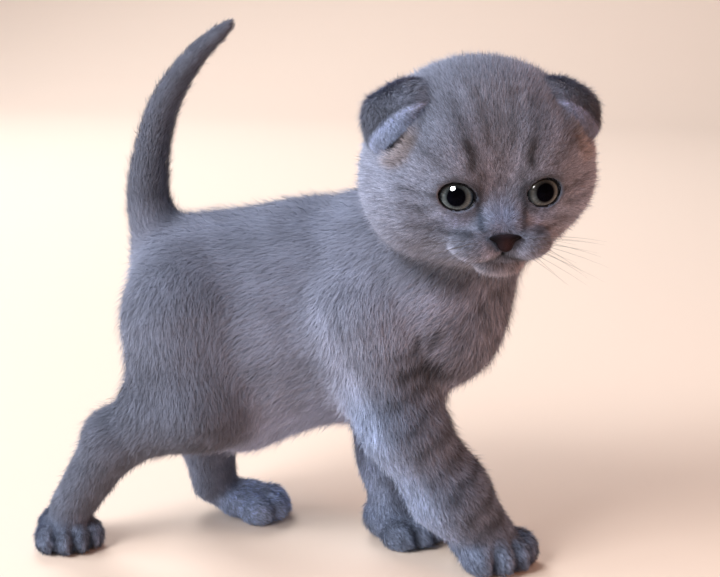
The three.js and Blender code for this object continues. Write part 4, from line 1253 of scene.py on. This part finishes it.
def hairs(p, n, way, length, lift, half_width, colour, grain, rng, clump):
    """Bent kites: a root, two corners half way and a tip, with faces, colours and normals."""
    count = len(p)
    stray = rng.random(count) < STRAYS
    lift = np.radians(np.clip(lift + rng.normal(0, LIFT_SPREAD, count) + STRAY_LIFT * stray, 6, 84))
    turn = rng.normal(0, TURN_SPREAD, count)[:, None]
    lean = unit(way * np.cos(turn) + np.cross(n, way) * np.sin(turn))
    length = length * rng.uniform(*LENGTH_SPREAD, count) * np.where(stray, STRAY_LENGTH, 1)
    half_width = half_width * np.where(stray, STRAY_WIDTH, 1)
    first = lean * np.cos(lift + BEND_OUT)[:, None] + n * np.sin(lift + BEND_OUT)[:, None]
    last = lean * np.cos(lift - BEND_IN)[:, None] + n * np.sin(lift - BEND_IN)[:, None]
    root = p - n * ROOT_SUNK
    middle = root + first * (length * MIDDLE_AT)[:, None]
    tip = middle + last * (length * (1 - MIDDLE_AT))[:, None]
    centre, group, clumps = clump_centres(tip, clump)
    drawn = (centre - tip) * (rng.uniform(0, CLUMP_PULL, count) * grain * (1 - stray))[:, None]
    tip, middle = tip + drawn, middle + drawn * 0.3
    side_way = unit(np.cross(first, n) + TWIST_SPREAD * rng.normal(size=(count, 3)))
    side_way = unit(side_way - (side_way * first).sum(1, keepdims=True) * first)
    across = (half_width * rng.uniform(*WIDTH_SPREAD, count))[:, None] * side_way
    points = np.stack([root, middle + across, middle - across, tip], 1).reshape(-1, 3)
    base = np.arange(count)[:, None] * 4
    faces = np.stack([base + [0, 1, 2], base + [2, 1, 3]], 1).reshape(-1, 3)
    shade = 1 + grain * (rng.normal(0, 1.1, count) + 3.2 * (rng.random(clumps)[group] - 0.5))
    tint = colour * np.clip(shade, 0.6, 1.6)[:, None]
    levels = np.stack([1 - 2.8 * grain, 1 - 0.3 * grain, 1 - 0.3 * grain, 1 + 2.2 * grain], 1)
    colours = (tint[:, None] * levels[:, :, None]).reshape(-1, 3)
    own = np.cross(side_way, first)
    normals = np.repeat(unit(n * SKIN_NORMAL + own * OWN_NORMAL), 4, 0)
    return points, faces, colours, normals


PATCH = 0.0015  # half the side of a hair's patch in the map
HAIR_PATCH = np.array([[0, -PATCH], [PATCH, 0], [-PATCH, 0], [0, PATCH]])


def coat_piece(name, made, root_uv):
    points, faces, colours, normals = made
    obj = make_mesh(name, points, faces)
    obj.data.normals_split_custom_set_from_vertices(normals)
    add_colour(obj, colours)
    uv = (np.clip(root_uv, 0.004, 0.996)[:, None] + HAIR_PATCH).reshape(-1, 2)
    layer = obj.data.uv_layers.new(name="OFBake")
    layer.data.foreach_set("uv", uv[faces.ravel()].astype(np.float32).ravel())
    obj.data.materials.append(fur_material)
    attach(obj, "root")
    return obj


def round_axis(p, a, b):
    """An unwrap round a straight axis: the angle about it, and the place along it."""
    a, b = np.array(a, float), np.array(b, float)
    way = unit(b - a)
    x = unit(np.cross(way, [1.0, 0.31, 0.2]))
    y = np.cross(way, x)
    q = p - a
    return np.stack([np.arctan2(q @ y, q @ x) / (2 * math.pi) + 0.5, q @ way / np.linalg.norm(b - a)], 1)


# %% Coat pieces
PIECE_HAIRS = 96000
LOWEST_TIP = 0.15
CLUMP, HEAD_CLUMP = 1.0, 0.65
GROUPS = [TORSO, NECK, HEAD, 3, 4, 5, 6, 3, 4, 5, 6, 7]  # a leg shares its piece with its paw
group_of = np.array(GROUPS)[np.argmax(root_data[:, SHARES], 1)]
axes_of = {
    "torso": ([-74, 0, 74], [46, 0, 74], TORSO),
    "neck": ([16, -6, 86], [46, -22, 124], NECK),
    "head": (from_head([-34, 0, 2]), from_head([36, 0, 2]), HEAD),
    "tail": ([-60, 0, 84], [-44, 0, 162], GROUPS[TAIL]),
}
for i, (name, leg) in enumerate(LEGS.items()):
    top, foot = np.array(leg["joints"][0], float), np.array(leg["paw"], float)
    axes_of[f"{name}_leg"] = (top + [0, 0, 24], foot - [0, 0, 2], GROUPS[FIRST_LEG + i])
total = 0
for name, (a, b, group) in axes_of.items():
    chosen = np.flatnonzero(group_of == group)
    place = round_axis(roots[chosen], a, b)
    order = np.argsort(place[:, 1])
    pieces = np.array_split(order, math.ceil(len(order) / PIECE_HAIRS))
    for number, piece in enumerate(pieces):
        of_all = chosen[piece]
        d = root_data[of_all]
        made = hairs(roots[of_all], root_normals[of_all], unit(d[:, WAY]), d[:, LENGTH], d[:, LIFT],
                     d[:, WIDTH], d[:, COLOUR], d[:, GRAIN], RNG, HEAD_CLUMP if name == "head" else CLUMP)
        made[0][:, 2] = np.maximum(made[0][:, 2], LOWEST_TIP)
        label = f"coat_{name}" + (f"_{number + 1}" if len(pieces) > 1 else "")
        coat_piece(label, made, place[piece])
        total += 2 * len(piece)
        print(label, 2 * len(piece), "triangles")
print("coat so far:", total, "triangles")

# %% [markdown]
# ## Fur of the ears
# The leaf's outer face has short fur that runs from the root over the crest to the free margin: dark
# on the back, a painted highlight on the crest, lilac on the flap. It is longest on the back.

# %% Ear fur
EAR_HAIRS, EAR_CLUMP, EAR_HALF_WIDTH = 24000, 0.8, 0.052
FUR_LEVEL = 0.35  # over the middle of the leaf
STEP = 0.004
for name, side in (("left", LEFT), ("right", RIGHT)):
    rng = np.random.default_rng(7 + side)
    count = int(EAR_HAIRS * FUR_SHARE)
    u = rng.uniform(-1, 1, count) * EAR_REACH
    v = rng.uniform(0.02, EAR_REACH, count)
    p = ear_points(u, v, FUR_LEVEL, side)
    du = ear_points(u + STEP, v, FUR_LEVEL, side) - p
    dv = ear_points(u, v + STEP, FUR_LEVEL, side) - p
    n = unit(np.cross(dv, du)) * side
    way = unit(dv / STEP * 0.05 + du / STEP * 0.12 * u[:, None])
    flap = smooth_step(v, 0.6, 0.8)
    length = 3.1 - 1.5 * flap + 0.9 * bump_at(v, 0.3, 0.2)
    lift = 34 - 4 * flap
    grain = 0.26 - 0.08 * flap
    made = hairs(p, n, way, length, lift, EAR_HALF_WIDTH, ear_colour(u, v), grain, rng, EAR_CLUMP)
    coat_piece(f"coat_ear_{name}", made, np.stack([(u + 1) / 2, v], 1))
    print("ear", name, 2 * count, "triangles")

# %% [markdown]
# ## Whiskers
# Whiskers and brow hairs repeat one form, so that a Geometry Nodes tree makes them: it turns lines
# into tapering tubes. The lines start in rows on the lip pads and over the eyes.

# %% Whisker tree and whiskers


def whisker_tree():
    """Lines to tubes with a thickness that falls along them by the taper."""
    tree = bpy.data.node_groups.new("tapering_hairs", "GeometryNodeTree")
    inputs = [("Geometry", "Geometry", None), ("Thickness", "Float", 0.00012), ("Taper", "Float", 0.9),
              ("Sides", "Int", 5), ("Material", "Material", None)]
    for name, kind, value in inputs:
        socket = tree.interface.new_socket(name, in_out="INPUT", socket_type=f"NodeSocket{kind}")
        if value is not None:
            socket.default_value = value
    tree.interface.new_socket("Geometry", in_out="OUTPUT", socket_type="NodeSocketGeometry")
    start, end = add(tree, "NodeGroupInput"), add(tree, "NodeGroupOutput")
    lines = add(tree, "GeometryNodeMeshToCurve")
    along = add(tree, "GeometryNodeSplineParameter")
    taper = add(tree, "ShaderNodeMath", operation="MULTIPLY")
    rest = add(tree, "ShaderNodeMath", operation="SUBTRACT")
    rest.inputs[0].default_value = 1
    radius = add(tree, "GeometryNodeSetCurveRadius")
    ring = add(tree, "GeometryNodeCurvePrimitiveCircle")
    to_mesh = add(tree, "GeometryNodeCurveToMesh")
    real = add(tree, "GeometryNodeRealizeInstances")
    paint = add(tree, "GeometryNodeSetMaterial")
    wires = [(start, "Geometry", lines, "Mesh"), (along, "Factor", taper, 0), (start, "Taper", taper, 1),
             (taper, 0, rest, 1), (lines, "Curve", radius, "Curve"), (rest, 0, radius, "Radius"),
             (start, "Sides", ring, "Resolution"), (start, "Thickness", ring, "Radius"),
             (radius, "Curve", to_mesh, "Curve"), (ring, "Curve", to_mesh, "Profile Curve"),
             (to_mesh, "Mesh", real, 0), (real, 0, paint, "Geometry"),
             (start, "Material", paint, "Material"), (paint, "Geometry", end, 0)]
    if "Scale" in to_mesh.inputs:
        wires.append((rest, 0, to_mesh, "Scale"))
    for source, output, goal, entry in wires:
        tree.links.new(source.outputs[output], goal.inputs[entry])
    return tree


def from_tree(name, source, tree, **inputs):
    """Runs a tree on a mesh, keeps the result as a plain mesh and removes the source."""
    modifier = source.modifiers.new("tree", "NODES")
    modifier.node_group = tree
    for item in tree.interface.items_tree:
        if item.item_type == "SOCKET" and item.in_out == "INPUT" and item.name in inputs:
            modifier[item.identifier] = inputs[item.name]
    source.update_tag()
    bpy.context.view_layer.update()
    made = bpy.data.meshes.new_from_object(source.evaluated_get(bpy.context.evaluated_depsgraph_get()))
    bpy.data.objects.remove(source)
    obj = bpy.data.objects.new(name, made)
    bpy.context.scene.collection.objects.link(obj)
    return obj


HAIR_STEPS = 12
SAG_WAY = np.array([-0.25, 0, -1.0])
hair_lines = []


def add_hair(y, z, way, length, sag):
    """One long hair from the face, in the head's frame, bent down by sag."""
    root = face_point(y, z, skin_value)
    t = np.linspace(0, 1, HAIR_STEPS)[:, None]
    way = unit(way)
    hair_lines.append(from_head(root - way * 0.6 + way * length * t + SAG_WAY * sag * length * t**2))


PAD_ROWS, ROW_GAP, HAIR_GAP = (4, 4, 4, 2), 1.25, 1.7  # hairs in each row of a lip pad, from the top
PAD_START, WHISKER_LENGTH, BROW_HAIR_LENGTH = (5.2, -13.9), (12, 21), (6, 9)
BROW_HAIRS = 3
rng = np.random.default_rng(23)
for side in (LEFT, RIGHT):
    for row, hairs_in_row in enumerate(PAD_ROWS):
        for k in range(hairs_in_row):
            y = side * (PAD_START[0] + HAIR_GAP * k + rng.normal(0, 0.2))
            z = PAD_START[1] - ROW_GAP * row + rng.normal(0, 0.12)
            way = [0.32 + 0.1 * side - 0.1 * k + rng.normal(0, 0.06), side * (0.9 + rng.normal(0, 0.05)),
                   0.02 - 0.24 * row + rng.normal(0, 0.08)]
            add_hair(y, z, way, rng.uniform(*WHISKER_LENGTH), rng.uniform(0.05, 0.16))
    for k in range(BROW_HAIRS):
        way = [0.7, side * (0.3 + 0.14 * k), 0.8 + 0.1 * k]
        y, z = side * (9 + 1.3 * k), 4.8 + 0.5 * k
        add_hair(y, z, way, rng.uniform(*BROW_HAIR_LENGTH), rng.uniform(0.05, 0.15))
edges = [(HAIR_STEPS * n + i, HAIR_STEPS * n + i + 1)
         for n in range(len(hair_lines)) for i in range(HAIR_STEPS - 1)]
whisker_lines = bpy.data.meshes.new("whisker_lines")
whisker_lines.from_pydata(to_row(np.concatenate(hair_lines)).tolist(), edges, [])
source = bpy.data.objects.new("whisker_lines", whisker_lines)
bpy.context.scene.collection.objects.link(source)
whiskers = from_tree("whiskers", source, whisker_tree(), Thickness=0.000055, Taper=0.9, Sides=4,
                     Material=whisker_material)
whiskers.data.shade_smooth()
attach(whiskers, "root")
print(len(hair_lines), "whiskers,", len(whiskers.data.polygons), "faces")

# %% [markdown]
# ## Floor, light and camera
# A plain pale floor that curves up behind, a soft light from the upper left as in the photo, a wide
# one from the left side, a weak, warm and low one from the right, and a rim light. A catch light
# before the kitten lights the eyes alone. The camera stands at the photo's viewing angle.

# %% Floor, lights and camera
FLOOR_HALF, FLOOR_FRONT, FLOOR_BACK, WALL_TOP, SWEEP_RADIUS = 2.0, -1.2, 0.9, 2.2, 0.5  # metres
sweep = [(FLOOR_BACK + SWEEP_RADIUS * math.sin(t), SWEEP_RADIUS - SWEEP_RADIUS * math.cos(t))
         for t in np.linspace(0.1, math.pi / 2, 12)]
profile = [(FLOOR_FRONT, 0.0), (FLOOR_BACK, 0.0), *sweep, (FLOOR_BACK + SWEEP_RADIUS, WALL_TOP)]
verts = [(x, y, z) for x in (-FLOOR_HALF, FLOOR_HALF) for y, z in profile]
n = len(profile)
floor_mesh = bpy.data.meshes.new("floor")
floor_mesh.from_pydata(verts, [], [(i, n + i, n + i + 1, i + 1) for i in range(n - 1)])
floor = bpy.data.objects.new("floor", floor_mesh)
bpy.context.scene.collection.objects.link(floor)
floor_mesh.shade_smooth()
floor_material, _, _ = new_material("floor", Base_Color=(0.84, 0.70, 0.60, 1), Roughness=0.7)
floor_mesh.materials.append(floor_material)
floor.visible_glossy = False


def area_light(name, place, height, size, power, colour):
    """A square light that points at the kitten's middle line at a height, and doesn't show in gloss."""
    light = bpy.data.lights.new(name, "AREA")
    light.shape, light.size, light.energy, light.color = "SQUARE", size, power, colour
    obj = bpy.data.objects.new(name, light)
    obj.location = place
    obj.rotation_mode = "QUATERNION"
    obj.rotation_quaternion = (Vector((0, 0, height)) - Vector(place)).to_track_quat("-Z", "Y")
    obj.visible_glossy = False
    bpy.context.scene.collection.objects.link(obj)
    return obj


wet = bpy.data.collections.new("wet")
for name in ("eyeball_left", "eyeball_right"):
    wet.objects.link(bpy.data.objects[name])
catch = area_light("catch", (-0.22, -1.0, 0.68), 0.08, 0.5, 300, (0.95, 0.98, 1.0))
catch.data.shape = "DISK"
catch.visible_glossy = True
catch.visible_diffuse = False
catch.light_linking.receiver_collection = wet
area_light("key", (-0.62, -0.75, 0.8), 0.08, 0.5, 13.5, (1.0, 0.99, 0.98))
area_light("side", (-1.0, -0.25, 0.33), 0.08, 0.7, 11.5, (0.92, 0.96, 1.0))
area_light("fill", (0.85, -0.22, 0.14), 0.10, 0.6, 5.5, (1.0, 0.38, 0.15))
area_light("rim", (-0.45, 0.8, 0.75), 0.10, 0.5, 8, (0.95, 0.97, 1.0))
world = bpy.data.worlds.new("studio")
world.use_nodes = True
sky = world.node_tree.nodes["Background"]
sky.inputs["Color"].default_value = (0.93, 0.95, 1.0, 1)
sky.inputs["Strength"].default_value = 0.25
bpy.context.scene.world = world
world.cycles_visibility.glossy = False

CAMERA_AZIMUTH, CAMERA_ELEVATION, CAMERA_DISTANCE = 10.0, 14.0, 520.0
target = np.array([0, 16, 77.3])
a, e = math.radians(CAMERA_AZIMUTH), math.radians(CAMERA_ELEVATION)
back = np.array([math.sin(a) * math.cos(e), -math.cos(a) * math.cos(e), math.sin(e)])
camera = bpy.data.objects.new("camera", bpy.data.cameras.new("camera"))
camera.data.lens, camera.data.sensor_width = 85, 36
camera.data.clip_start, camera.data.clip_end = 0.02, 20
camera.location = to_row(target + back * CAMERA_DISTANCE)
camera.rotation_mode = "QUATERNION"
camera.rotation_quaternion = Vector(-back).to_track_quat("-Z", "Y")
bpy.context.scene.collection.objects.link(camera)
bpy.context.scene.camera = camera
bpy.context.scene.view_settings.view_transform = "Standard"
print("camera", CAMERA_DISTANCE, "mm from its target")
